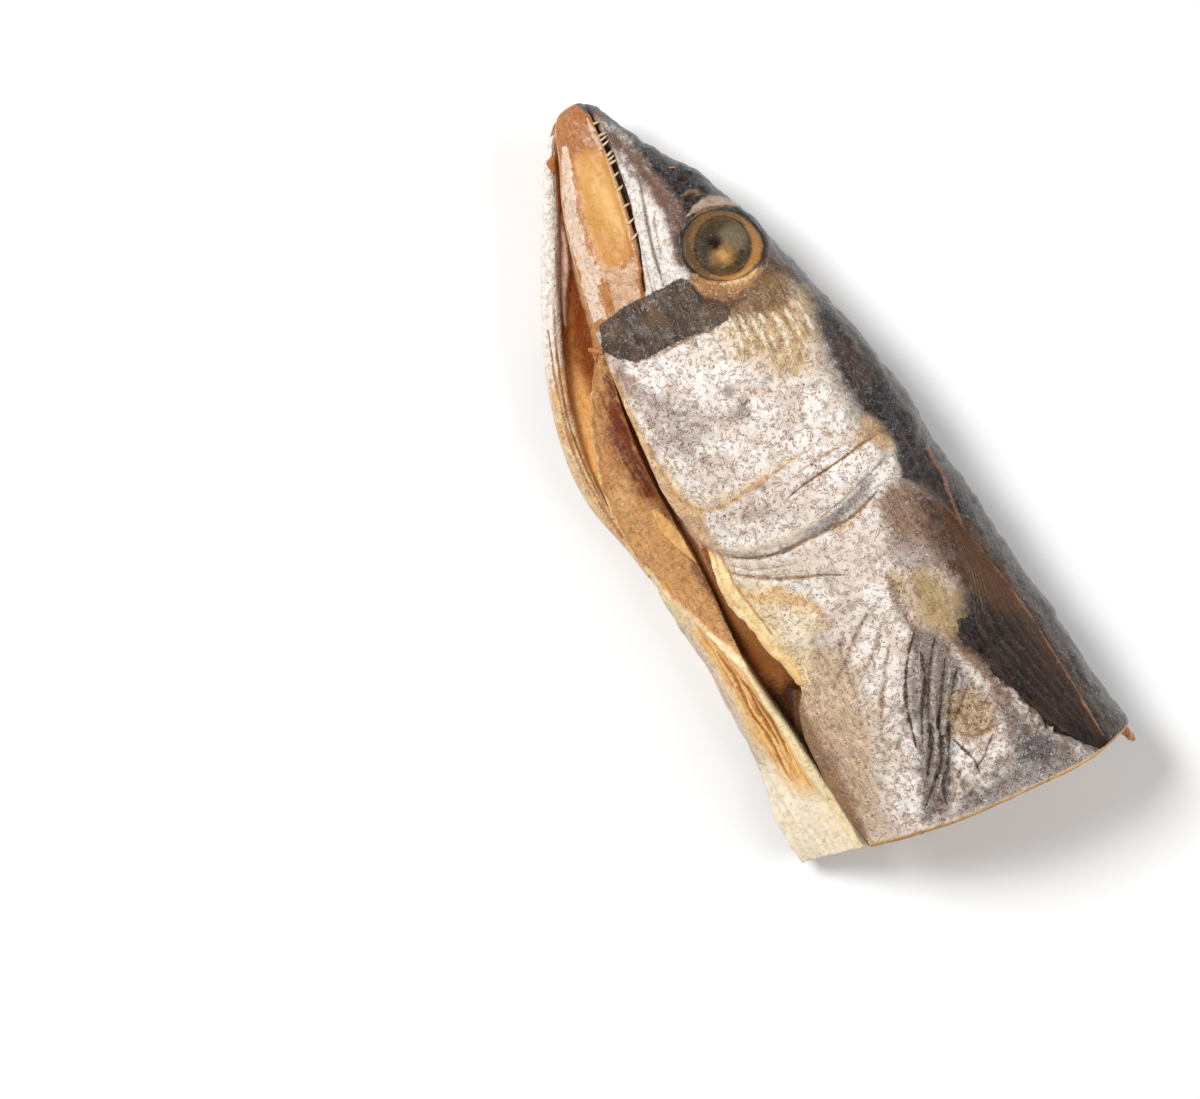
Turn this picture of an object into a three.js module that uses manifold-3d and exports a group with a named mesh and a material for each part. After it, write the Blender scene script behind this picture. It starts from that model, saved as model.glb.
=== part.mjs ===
// Head and shoulder piece of a dried salted fish, lying on its right side with the left side up.
// Units are millimetres. Along the fish, s runs from the snout tip back to the cut end. Across it,
// d runs from the belly (negative) to the back (positive). Height z runs up from the floor.
// In the part's own frame that is x = d, y = -s and z, moved so that the origin is the centre of
// the underside.
import * as THREE from "three";
import { mergeVertices } from "three/addons/utils/BufferGeometryUtils.js";
import Module from "manifold-3d";

// Driving dimensions
const LENGTH = 204; // snout tip to the cut, measured at the back
const MIDDLE_HEIGHT = 20.5; // the fish's middle plane above the floor
const BACK_ROUNDING = 2.4; // exponent of the rounded back, 2 would be an ellipse
const BELLY_SWEEP = 1.9; // exponent with which a flank curves in towards its belly edge
const UNDERSIDE_SWEEP = 2.3; // the same for the side that lies on the floor
const SNOUT_ROUNDING = 3.5; // length of the rounded end of the snout
const SNOUT_BLUNTNESS = 0.72; // share of the full section that the snout tip keeps
const CUT_START = 150; // from here to the end, the sections turn towards the slanting cut

const EYE = { s: 50.3, d: 11.4, orbit: 10.4, ball: 7.4, rim: 1.5, dome: 1.9 };
const GILL_COVER = { lift: 1.9, root: 1.2 }; // free edge above the skin, grown margins below it
const CHEEK_PLATE = 0.7; // the dark plate at the corner of the mouth stands proud by this
const PLATE_ROOT = 3; // how deep a plate's underside is sunk into the flank
const PLATE_EDGE = 0.6; // share of a plate's lift that is left at its softened edge
const FIN = { lift: 1, rays: 6, rayRadius: 0.75, rayStart: 140, rayEnd: 200 };
const MOUTH = { width: 1.1, depth: 4.5, fade: 0.7 }; // fade is how much narrower it ends
const GILL_CREASE = { width: 1.2, depth: 0.9, fade: 0 };
const GROOVE_FOOT = 0.4; // a groove's width at its bottom, as a share of its width at the skin
const SHOULDER_RIM = { radius: 1.3, start: 115, end: 154 }; // curled rim behind the gill opening
const FOLD_RADIUS = 1.6; // dried folds of skin on the flank
const BAR_END = 0.35; // a rim, fold or ray thins to this share of its radius at both ends
const BAR_SINK = 0.35; // and is sunk into the skin by this share of it
const STRIP_CROWN = 1.4; // how far the belly strip's sloping top bulges
const JOIN = 0.6; // how far fused pieces reach into each other

// Mesh fineness
const STATIONS = 46;
const STATION_CROWDING = 1.18; // above 1, sections are closer together at the snout
const TOP_STEPS = 16;
const UNDER_STEPS = 11;
const FLOOR_STEPS = 4;
const ROOF_STEPS = 2;
const STRIP_STATIONS = 26;
const PLATE_SIDES = 34;
const PLATE_RINGS = [1, 0.95, 0.74, 0.48, 0.24]; // from the edge in, as shares of the way out
const EYE_RINGS = [1, 0.9, 0.8, 0.71, 0.5, 0.25];
const BAR_SIDES = 6;
const RAY_STEPS = 8;
const FOLD_STEPS = 9;
const RIM_STEPS = 16;
const MOUTH_STEPS = 16;

// A smooth curve through [position, value] pairs, as a function of position.
function profile(pairs) {
  const last = pairs.length - 1;
  const rise = (i) => (pairs[i + 1][1] - pairs[i][1]) / (pairs[i + 1][0] - pairs[i][0]);
  const slopes = pairs.map((_, i) => {
    if (i === 0) return rise(0);
    if (i === last) return rise(last - 1);
    const before = pairs[i][0] - pairs[i - 1][0];
    const after = pairs[i + 1][0] - pairs[i][0];
    return (rise(i - 1) * after + rise(i) * before) / (before + after);
  });
  return (at) => {
    const x = THREE.MathUtils.clamp(at, pairs[0][0], pairs[last][0]);
    let i = 0;
    while (i < last - 1 && x > pairs[i + 1][0]) i += 1;
    const span = pairs[i + 1][0] - pairs[i][0];
    const t = (x - pairs[i][0]) / span;
    const back = 1 - t;
    return (
      pairs[i][1] * back * back * (1 + 2 * t) +
      slopes[i] * span * t * back * back +
      pairs[i + 1][1] * t * t * (3 - 2 * t) -
      slopes[i + 1] * span * t * t * back
    );
  };
}

// Outlines seen from the shown side, and heights and thicknesses along the fish
const backEdge = profile([
  [0, 1.3], [10, 6.2], [20, 10.9], [30, 16.8], [40, 20.6], [60, 26], [100, 33.6],
  [120, 34.4], [160, 38.4], [204, 41],
]);
const farEdge = profile([
  [0, -9], [8, -15.5], [20, -23], [40, -35], [60, -44], [87, -48.9], [105, -45.7],
  [140, -43.5], [170, -44.8], [190, -47.2], [204, -46.5],
]);
const nearEdge = profile([
  [0, -8.4], [10, -12.6], [20, -17.4], [40, -23.6], [57, -27], [80, -29.6], [98, -31],
  [112, -29.2], [123, -31], [140, -28.6], [153, -26], [160, -29.4], [180, -32.3], [204, -31.2],
]);
const widest = profile([[0, -3.5], [20, -1], [50, 3], [100, 4], [150, 3], [204, 2]]);
const halfThickness = profile([
  [0, 5], [10, 8.3], [20, 10.8], [50, 16.8], [70, 19.2], [100, 21.2], [140, 22.3], [204, 23],
]);
const nearEdgeHeight = profile([[0, 23], [20, 25], [50, 28.5], [80, 31], [120, 31], [204, 28.5]]);
const farEdgeHeight = profile([[0, 17], [10, 14.5], [20, 12], [40, 9], [60, 7.5], [110, 5], [204, 3.5]]);
const nearWall = profile([[0, 1.5], [20, 2.4], [60, 3.4], [204, 4]]);
const farWall = profile([[0, 1.8], [20, 3], [60, 4], [204, 4.5]]);
const slitDepth = profile([[0, 0.4], [9, 0.8], [20, 5], [55, 8], [75, 13], [150, 14], [204, 13]]);

// Height of the flesh that lies in the slit behind the gills, on top of the far wall
const slitBed = profile([[85, 0], [112, 9], [150, 10], [178, 5], [204, 3]]);

// Where the slanting cut ends the fish, from the belly across to the back
const cutLine = profile([
  [-47, 194.3], [-38, 196], [-22, 199.4], [-10, 201.6], [10, 203.6], [27, 205], [41, 203.6],
]);

const smooth = (from, to, x) => THREE.MathUtils.smoothstep(x, from, to);

// Whole numbers from 0 to count, each as a share of count.
const shares = (count) => Array.from({ length: count + 1 }, (_, i) => i / count);

// Evenly spaced stations along the fish.
const stations = (from, to, count) => shares(count).map((t) => from + (to - from) * t);

// How much of its full size the section keeps at the rounded snout.
function snoutShare(s) {
  const t = THREE.MathUtils.clamp(1 - s / SNOUT_ROUNDING, 0, 1);
  return SNOUT_BLUNTNESS + (1 - SNOUT_BLUNTNESS) * Math.sqrt(1 - t * t);
}

// Height of the fish's upper skin at a place.
function upperSkin(s, d) {
  const c = widest(s);
  const w = halfThickness(s);
  if (d >= c) {
    const t = Math.min((d - c) / (backEdge(s) - c), 1);
    return MIDDLE_HEIGHT + w * Math.sqrt(1 - t ** BACK_ROUNDING);
  }
  const t = (c - d) / (c - nearEdge(s));
  return MIDDLE_HEIGHT + w - (MIDDLE_HEIGHT + w - nearEdgeHeight(s)) * t ** BELLY_SWEEP;
}

// Height of the skin that faces down, flat where it lies on the floor.
function lowerSkin(s, d) {
  const c = widest(s);
  const w = halfThickness(s);
  if (d >= c) {
    const t = Math.min((d - c) / (backEdge(s) - c), 1);
    return Math.max(0, MIDDLE_HEIGHT - w * Math.sqrt(1 - t ** BACK_ROUNDING));
  }
  const t = (c - d) / (c - farEdge(s));
  return Math.max(0, MIDDLE_HEIGHT - w + (farEdgeHeight(s) - MIDDLE_HEIGHT + w) * t ** UNDERSIDE_SWEEP);
}

// A place along the fish, turned towards the slanting cut in the last stretch.
function slanted(s, d) {
  return s + (cutLine(d) - LENGTH) * smooth(CUT_START, LENGTH, s) * (s / LENGTH);
}

const place = (s, d, z) => new THREE.Vector3(d, -slanted(s, d), z);

// The triangles that fill a section of the fish, wound in the order of its points.
function sectionCap(ring) {
  const outline = ring.map((p) => new THREE.Vector2(p.x, p.z));
  const turned = THREE.ShapeUtils.isClockWise(outline);
  return THREE.ShapeUtils.triangulateShape(outline, []).map(([a, b, c]) => (turned ? [a, c, b] : [a, b, c]));
}

// The same for a ring that bulges all round, whichever way it faces.
function fanCap(ring) {
  return ring.slice(2).map((_, i) => [0, i + 1, i + 2]);
}

// A closed mesh over rings of points, all with the same count, with a cap at both ends.
function loft(rings, capOf) {
  const count = rings[0].length;
  const end = (rings.length - 1) * count;
  const positions = rings.flat().flatMap((p) => p.toArray());
  const faces = [];
  for (let i = 0; i < rings.length - 1; i += 1) {
    for (let j = 0; j < count; j += 1) {
      const a = i * count + j;
      const b = i * count + ((j + 1) % count);
      faces.push(a, b, a + count, b, b + count, a + count);
    }
  }
  for (const [a, b, c] of capOf(rings[0])) faces.push(a, c, b);
  for (const [a, b, c] of capOf(rings[rings.length - 1])) faces.push(a + end, b + end, c + end);
  const geometry = new THREE.BufferGeometry();
  geometry.setAttribute("position", new THREE.Float32BufferAttribute(positions, 3));
  geometry.setIndex(faces);
  return geometry;
}

// One section through the fish: over the upper skin, round the back, along the floor, up the far
// belly edge and through the belly slit to the near edge again.
function bodySection(s) {
  const near = nearEdge(s);
  const far = farEdge(s);
  const back = backEdge(s);
  const slitEnd = near + slitDepth(s);
  const section = [];
  for (const t of shares(TOP_STEPS)) {
    const d = near + (back - near) * Math.sin((t * Math.PI) / 2);
    section.push([d, upperSkin(s, d)]);
  }
  for (const t of shares(UNDER_STEPS).slice(1)) {
    const d = back + (far - back) * (1 - Math.cos((t * Math.PI) / 2));
    section.push([d, lowerSkin(s, d)]);
  }
  for (const d of stations(far, slitEnd, FLOOR_STEPS)) {
    section.push([d, lowerSkin(s, d) + farWall(s) + slitBed(s) * smooth(far, near, d)]);
  }
  for (const d of stations(slitEnd, near, ROOF_STEPS)) section.push([d, upperSkin(s, d) - nearWall(s)]);
  const keep = snoutShare(s);
  const centre = (near + back) / 2;
  return section.map(([d, z]) =>
    place(s, centre + (d - centre) * keep, MIDDLE_HEIGHT + (z - MIDDLE_HEIGHT) * keep),
  );
}

function bodyGeometry() {
  const along = shares(STATIONS).map((t) => LENGTH * t ** STATION_CROWDING);
  return loft(along.map(bodySection), sectionCap);
}

// A strip of flesh from the throat back along the belly: its sloping top runs from a low outer edge
// to a ridge beside the slit.
const strip = {
  start: 48,
  outer: profile([
    [48, -25.5], [57, -29.6], [62, -33], [70, -38], [80, -42], [92, -45], [110, -45], [140, -43.5],
    [170, -44.8], [190, -47.2], [204, -46.5],
  ]),
  ridge: profile([
    [48, -22.5], [57, -26], [70, -29.6], [90, -32.4], [120, -33], [142, -35], [165, -33.3], [204, -31.6],
  ]),
  outerHeight: profile([[48, 9.5], [57, 17], [70, 15], [90, 13], [140, 10.5], [204, 9]]),
  ridgeHeight: profile([[48, 10], [57, 20.5], [75, 21], [110, 19.5], [145, 22], [204, 24]]),
};

function stripSection(s) {
  const outer = strip.outer(s);
  const ridge = strip.ridge(s);
  const low = strip.outerHeight(s);
  const high = strip.ridgeHeight(s);
  const root = lowerSkin(s, ridge) + JOIN;
  const outerRoot = Math.max(root, lowerSkin(s, outer) + JOIN);
  const section = shares(5).map((t) => {
    const crown = STRIP_CROWN * Math.sin(t * Math.PI);
    return [outer + (ridge - outer) * t, low + (high - low) * t + crown];
  });
  const inner = ridge + JOIN;
  section.push([inner, (high * 2 + root) / 3], [inner + JOIN, root], [outer + 2 * JOIN, outerRoot]);
  return section.map(([d, z]) => place(s, d, z));
}

function bellyStripGeometry() {
  return loft(stations(strip.start, LENGTH, STRIP_STATIONS).map(stripSection), sectionCap);
}

// The far jaw and the far gill edge, a raised lip along the lower belly edge from chin to breast.
const farLip = {
  start: 3,
  end: 110,
  width: profile([[3, 2], [12, 3.2], [45, 4.6], [75, 3.6], [110, 1.6]]),
  height: profile([[3, 4], [20, 6.4], [60, 7.2], [110, 5.4]]),
  squareness: 0.6, // below 1, the lip's sides are steeper than a half circle's
};

function farLipSection(s) {
  const outer = farEdge(s);
  const root = farEdgeHeight(s) + JOIN;
  return shares(6).map((t) => {
    const turn = t * Math.PI;
    const d = outer + (farLip.width(s) / 2) * (1 - Math.cos(turn));
    return place(s, d, root + farLip.height(s) * Math.sin(turn) ** farLip.squareness);
  });
}

function farLipGeometry() {
  return loft(stations(farLip.start, farLip.end, STRIP_STATIONS).map(farLipSection), sectionCap);
}

// Evenly spaced places along a smooth line through [s, d] points, with the direction aside at each.
function walk(points, steps) {
  const curve = new THREE.SplineCurve(points.map(([s, d]) => new THREE.Vector2(s, d)));
  return shares(steps).map((t) => {
    const at = curve.getPointAt(t);
    const ahead = curve.getTangentAt(t);
    return { t, s: at.x, d: at.y, aside: new THREE.Vector2(-ahead.y, ahead.x) };
  });
}

// A round bar along a line on the upper skin, thinner towards both ends.
function barGeometry(points, radius, steps) {
  const rings = walk(points, steps).map(({ t, s, d, aside }) => {
    const r = radius * (BAR_END + (1 - BAR_END) * Math.sqrt(Math.max(0, Math.sin(Math.PI * t))));
    const axis = upperSkin(s, d) - r * BAR_SINK;
    return shares(BAR_SIDES)
      .slice(1)
      .map((share) => {
        const turn = share * 2 * Math.PI;
        const out = r * Math.cos(turn);
        return place(s + aside.x * out, d + aside.y * out, axis + r * Math.sin(turn));
      });
  });
  return loft(rings, fanCap);
}

// A wedge along a line on the upper skin, for cutting a groove that narrows with depth.
function grooveGeometry(points, { width, depth, fade }, steps) {
  const rings = walk(points, steps).map(({ t, s, d, aside }) => {
    const half = (width / 2) * (1 - fade * t);
    const skin = upperSkin(Math.max(s, 0), d);
    const corners = [[-half, skin + depth], [half, skin + depth]];
    corners.push([half * GROOVE_FOOT, skin - depth], [-half * GROOVE_FOOT, skin - depth]);
    return corners.map(([out, z]) => place(s + aside.x * out, d + aside.y * out, z));
  });
  return loft(rings, fanCap);
}

// A plate that lies on the upper skin inside a closed outline of [s, d] points. lift(s, d) is how
// far its top stands off the skin, and its underside is sunk into the flank. Its top has a ring of
// points at each of the levels.
function plateGeometry(points, lift, levels = PLATE_RINGS) {
  const curve = new THREE.SplineCurve([...points, points[0]].map(([s, d]) => new THREE.Vector2(s, d)));
  const rim = curve.getSpacedPoints(PLATE_SIDES).slice(0, PLATE_SIDES);
  const middle = rim.reduce((sum, p) => sum.add(p), new THREE.Vector2()).divideScalar(PLATE_SIDES);
  const positions = [];
  const add = (p, height) => {
    positions.push(...place(p.x, p.y, upperSkin(p.x, p.y) + height).toArray());
  };
  for (const level of levels) {
    for (const p of rim) {
      const q = middle.clone().lerp(p, level);
      add(q, lift(q.x, q.y) * (level === 1 ? PLATE_EDGE : 1));
    }
  }
  const centre = levels.length * PLATE_SIDES;
  add(middle, lift(middle.x, middle.y));
  const under = centre + 1;
  for (const p of rim) add(p, -PLATE_ROOT);
  const underCentre = under + PLATE_SIDES;
  add(middle, -PLATE_ROOT);
  const faces = [];
  for (let j = 0; j < PLATE_SIDES; j += 1) {
    const next = (j + 1) % PLATE_SIDES;
    for (let level = 0; level < levels.length - 1; level += 1) {
      const a = level * PLATE_SIDES + j;
      const b = level * PLATE_SIDES + next;
      faces.push(a, b, a + PLATE_SIDES, b, b + PLATE_SIDES, a + PLATE_SIDES);
    }
    const inner = centre - PLATE_SIDES;
    faces.push(inner + j, inner + next, centre);
    faces.push(under + j, under + next, j, under + next, next, j);
    faces.push(under + next, under + j, underCentre);
  }
  const geometry = new THREE.BufferGeometry();
  geometry.setAttribute("position", new THREE.Float32BufferAttribute(positions, 3));
  geometry.setIndex(faces);
  return geometry;
}

// The gill cover: free along its belly side and its rear margin, grown into the cheek elsewhere.
function gillCoverGeometry() {
  const outline = [
    [66, -26.5], [80, -30.2], [97, -31.8], [110, -29.4], [119, -21.5], [122, -8], [121, 7],
    [116, 20], [100, 22], [80, 20], [66, 6], [63, -12],
  ];
  const freeFrom = { front: 74, back: 15 };
  const grownTo = { front: 62, back: 23 };
  const lift = (s, d) => {
    const free = smooth(grownTo.front, freeFrom.front, s) * (1 - smooth(freeFrom.back, grownTo.back, d));
    return -GILL_COVER.root + (GILL_COVER.lift + GILL_COVER.root) * free;
  };
  return plateGeometry(outline, lift);
}

// The dark plate at the corner of the mouth, below the eye.
function cheekPlateGeometry() {
  const outline = [
    [51, -18], [51, -2], [55, 3], [63, 3], [66, -4], [64.5, -14], [62, -23], [56, -26], [52, -23],
  ];
  return plateGeometry(outline, () => CHEEK_PLATE);
}

// The side fin, folded back along the flank, with a bar for each ray.
function sideFinGeometries() {
  const upper = [[124, 22], [132, 25.6], [146, 29.2], [164, 31.7], [184, 32.4], [203.6, 30.6]];
  const lower = [[199, 25.4], [185, 20.4], [172, 16.8], [163, 13.6], [154, 15.6], [142, 18.4], [130, 19.4]];
  const plate = plateGeometry([...upper, ...lower], () => FIN.lift);
  const upperEdge = profile(upper);
  const lowerEdge = profile([...lower].reverse());
  const rays = shares(FIN.rays + 1).slice(1, -1).map((share) => {
    const line = stations(FIN.rayStart, FIN.rayEnd, 6).map((s) => {
      const width = upperEdge(s) - lowerEdge(s);
      return [s, lowerEdge(s) + width * share];
    });
    return barGeometry(line, FIN.rayRadius, RAY_STEPS).translate(0, 0, FIN.lift);
  });
  return [plate, ...rays];
}

// The curled rim along the near belly edge, behind the gill opening.
function shoulderRimGeometry() {
  const line = stations(SHOULDER_RIM.start, SHOULDER_RIM.end, 8).map((s) => [s, nearEdge(s)]);
  return barGeometry(line, SHOULDER_RIM.radius, RIM_STEPS);
}

// Folds where the skin of the flank shrank as it dried, running back and down from the fin.
function foldGeometries() {
  const lines = [
    [[157, 3], [166, -1], [174, -5], [181, -8], [188, -11]],
    [[159, 7], [167, 2], [175, -2], [183, -6], [192, -13]],
    [[164, 8], [172, 3], [179, -0.5], [186, -5], [194, -11]],
    [[169, 9], [176, 4.5], [182, 1], [187, -3]],
  ];
  return lines.map((line) => barGeometry(line, FOLD_RADIUS, FOLD_STEPS));
}

// A shape on the upper side, turned over to the same place on the side that faces down.
function underside(geometry) {
  return geometry.clone().scale(1, 1, -1).translate(0, 0, 2 * MIDDLE_HEIGHT);
}

// The eye: a raised orbit round a sunken ring and a low domed ball, all following the skin's curve.
function eyeGeometry() {
  const { s, d, orbit, ball, rim, dome } = EYE;
  const outline = shares(12).slice(1).map((t) => {
    const turn = t * 2 * Math.PI;
    return [s + orbit * Math.cos(turn), d + orbit * Math.sin(turn)];
  });
  const height = profile([
    [0, dome], [ball * 0.7, dome * 0.7], [ball, -rim / 3], [orbit * 0.9, rim], [orbit, 0],
  ]);
  const lift = (along, across) => height(Math.hypot(along - s, across - d));
  return plateGeometry(outline, lift, EYE_RINGS);
}

// The line of the shut mouth, which parts the jaws from the snout back to below the eye.
function mouthGeometry() {
  const line = [[-2, 0.6], [10, -0.2], [20, -1.9], [30, -4.4], [40, -7.6], [50.5, -11.6]];
  return grooveGeometry(line, MOUTH, MOUTH_STEPS);
}

// The crease across the rear of the gill cover.
function gillCreaseGeometry() {
  const line = [[112.4, -8], [110.6, 2], [110, 12], [108.4, 21]];
  return grooveGeometry(line, GILL_CREASE, RAY_STEPS).translate(0, 0, GILL_COVER.lift);
}

const wasm = await Module();
wasm.setup();

// A closed geometry as a solid that can be joined and cut, turned so that its faces point out.
function solid(geometry) {
  const bare = new THREE.BufferGeometry();
  bare.setAttribute("position", geometry.getAttribute("position"));
  bare.setIndex(geometry.index);
  const merged = mergeVertices(bare, 1e-4);
  const triVerts = new Uint32Array(merged.index.array);
  const vertProperties = merged.attributes.position.array;
  const made = new wasm.Manifold(new wasm.Mesh({ numProp: 3, vertProperties, triVerts }));
  if (made.volume() > 0) return made;
  return new wasm.Manifold(new wasm.Mesh({ numProp: 3, vertProperties, triVerts: triVerts.reverse() }));
}

// A solid as a three.js geometry.
function geometryOf(made) {
  const { vertProperties, triVerts } = made.getMesh();
  const geometry = new THREE.BufferGeometry();
  geometry.setAttribute("position", new THREE.Float32BufferAttribute(vertProperties, 3));
  geometry.setIndex([...triVerts]);
  geometry.computeVertexNormals();
  return geometry;
}

const grownOn = [
  bellyStripGeometry(),
  farLipGeometry(),
  gillCoverGeometry(),
  cheekPlateGeometry(),
  shoulderRimGeometry(),
  ...sideFinGeometries(),
  ...foldGeometries(),
  eyeGeometry(),
  underside(eyeGeometry()),
];
const cutIn = [mouthGeometry(), underside(mouthGeometry()), gillCreaseGeometry()];
const whole = grownOn.reduce((made, piece) => made.add(solid(piece)), solid(bodyGeometry()));
const fish = geometryOf(cutIn.reduce((made, groove) => made.subtract(solid(groove)), whole));

// The origin goes to the middle of the underside
fish.computeBoundingBox();
const middle = fish.boundingBox.getCenter(new THREE.Vector3());
fish.translate(-middle.x, -middle.y, -fish.boundingBox.min.z);

const skin = new THREE.MeshStandardMaterial({ color: 0xb9a48f, roughness: 0.55, metalness: 0 });
const mesh = new THREE.Mesh(fish, skin);
mesh.name = "salted_fish_head";

const part = new THREE.Group();
part.add(mesh);

export default part;
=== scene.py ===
"""Looks of a dried salted fish head with its shoulder, lying on its right side.

Lengths are millimetres in the fish's own frame until a mesh is made: s runs from the snout tip back to
the cut, d from the belly (negative) to the back (positive), and z up from the floor.
"""
import logging
import math
from dataclasses import dataclass
from enum import Enum
from typing import Any, Sequence

import bmesh
import bpy
import numpy as np
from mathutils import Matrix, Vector


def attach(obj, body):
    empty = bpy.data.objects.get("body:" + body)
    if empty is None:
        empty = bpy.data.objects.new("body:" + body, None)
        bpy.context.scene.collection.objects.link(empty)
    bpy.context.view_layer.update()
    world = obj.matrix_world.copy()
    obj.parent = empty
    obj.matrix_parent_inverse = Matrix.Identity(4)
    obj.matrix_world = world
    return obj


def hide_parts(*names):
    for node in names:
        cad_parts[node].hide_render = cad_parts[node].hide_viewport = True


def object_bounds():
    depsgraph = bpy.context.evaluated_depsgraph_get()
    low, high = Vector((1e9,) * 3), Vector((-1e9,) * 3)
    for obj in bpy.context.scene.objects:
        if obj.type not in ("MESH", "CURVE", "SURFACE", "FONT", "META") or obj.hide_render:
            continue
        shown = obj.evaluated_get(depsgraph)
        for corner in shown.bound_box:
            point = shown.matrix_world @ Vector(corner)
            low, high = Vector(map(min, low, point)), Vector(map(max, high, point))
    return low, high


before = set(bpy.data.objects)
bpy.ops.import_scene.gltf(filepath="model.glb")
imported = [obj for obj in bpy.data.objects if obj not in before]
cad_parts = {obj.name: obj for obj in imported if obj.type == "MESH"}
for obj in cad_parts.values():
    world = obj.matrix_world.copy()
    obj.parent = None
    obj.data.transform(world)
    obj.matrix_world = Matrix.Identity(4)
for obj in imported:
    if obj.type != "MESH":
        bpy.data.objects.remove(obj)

LOG = logging.getLogger("salted_fish")
NODE = "salted_fish_head"
MM = 0.001
FAR_AWAY = -300.0  # reading of a place that a mark doesn't reach
ARC_SAMPLES = 400  # points that a section's curve is measured at

Array = np.ndarray
Point = tuple[float, float]
Colour = tuple[int, int, int]
Shape = tuple[Array, list[list[int]]]  # points and faces
Socket = bpy.types.NodeSocket

CAD_LOW, CAD_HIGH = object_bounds()


def smooth(low: Any, high: Any, x: Array) -> Array:
    """A soft step that is 0 at low and 1 at high; low may be the larger."""
    t = np.clip((x - low) / (high - low), 0.0, 1.0)
    return t * t * (3 - 2 * t)


def linear(colour: Colour) -> tuple[float, float, float, float]:
    """A screen colour of 0 to 255 as the linear colour that a shader takes."""
    shares = [c / 255 for c in colour]
    return (*[x / 12.92 if x < 0.04045 else ((x + 0.055) / 1.055) ** 2.4 for x in shares], 1.0)


class Profile:
    """A smooth curve through (position, value) pairs, level beyond its ends."""

    def __init__(self, *pairs: Point) -> None:
        """Works out the slope at each pair.

        Args:
            pairs: positions in rising order, each with its value.
        """
        self.at, self.value = np.array(pairs, float).T
        gap = np.diff(self.at)
        rise = np.diff(self.value) / gap
        inner = (rise[:-1] * gap[1:] + rise[1:] * gap[:-1]) / (gap[:-1] + gap[1:])
        self.slope = np.concatenate([rise[:1], inner, rise[-1:]])

    def __call__(self, position: Array | float) -> Array:
        """The curve's value at each position."""
        x = np.clip(position, self.at[0], self.at[-1])
        i = np.clip(np.searchsorted(self.at, x) - 1, 0, len(self.at) - 2)
        span = self.at[i + 1] - self.at[i]
        t = (x - self.at[i]) / span
        back = 1 - t
        start = self.value[i] * (1 + 2 * t) + self.slope[i] * span * t
        end = self.value[i + 1] * (3 - 2 * t) - self.slope[i + 1] * span * back
        return start * back * back + end * t * t


class Crumple:
    """Seeded smooth noise over a plane, from about -1 to 1."""

    SIZE = 256
    LAYER_SHIFT = (17, 31)

    def __init__(self, seed: int) -> None:
        """Draws the lattice of heights."""
        self.heights = np.random.default_rng(seed).uniform(-1, 1, (self.SIZE, self.SIZE))

    def __call__(self, x: Array, y: Array) -> Array:
        """Noise with one bump per unit of x and y."""
        ix, iy = np.floor(x).astype(int), np.floor(y).astype(int)
        fx, fy = smooth(0, 1, x - ix), smooth(0, 1, y - iy)
        corner = lambda a, b: self.heights[(ix + a) % self.SIZE, (iy + b) % self.SIZE]
        low = corner(0, 0) * (1 - fx) + corner(1, 0) * fx
        high = corner(0, 1) * (1 - fx) + corner(1, 1) * fx
        return low * (1 - fy) + high * fy

    def layered(self, x: Array, y: Array, layers: int) -> Array:
        """Several sizes of bump, each half as large and as high as the one before."""
        right, up = self.LAYER_SHIFT
        return sum(self(x * 2**k + right * k, y * 2**k + up * k) / 2**k for k in range(layers))


@dataclass(frozen=True)
class Bumps:
    """Unevenness of one height, with the size of its bumps along and across the fish, in mm."""

    height: float
    along: float
    across: float
    shift: Point = (0.0, 0.0)
    layers: int = 2

    def over(self, noise: Crumple, s: Array, d: Array) -> Array:
        """How far each place stands off."""
        x, y = s / self.along + self.shift[0], d / self.across + self.shift[1]
        return self.height * noise.layered(x, y, self.layers)


class MarkKind(Enum):
    """How a mark's line is read: as the edge of a patch or the middle of a stroke."""

    PATCH = "patch"
    STROKE = "stroke"


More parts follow.
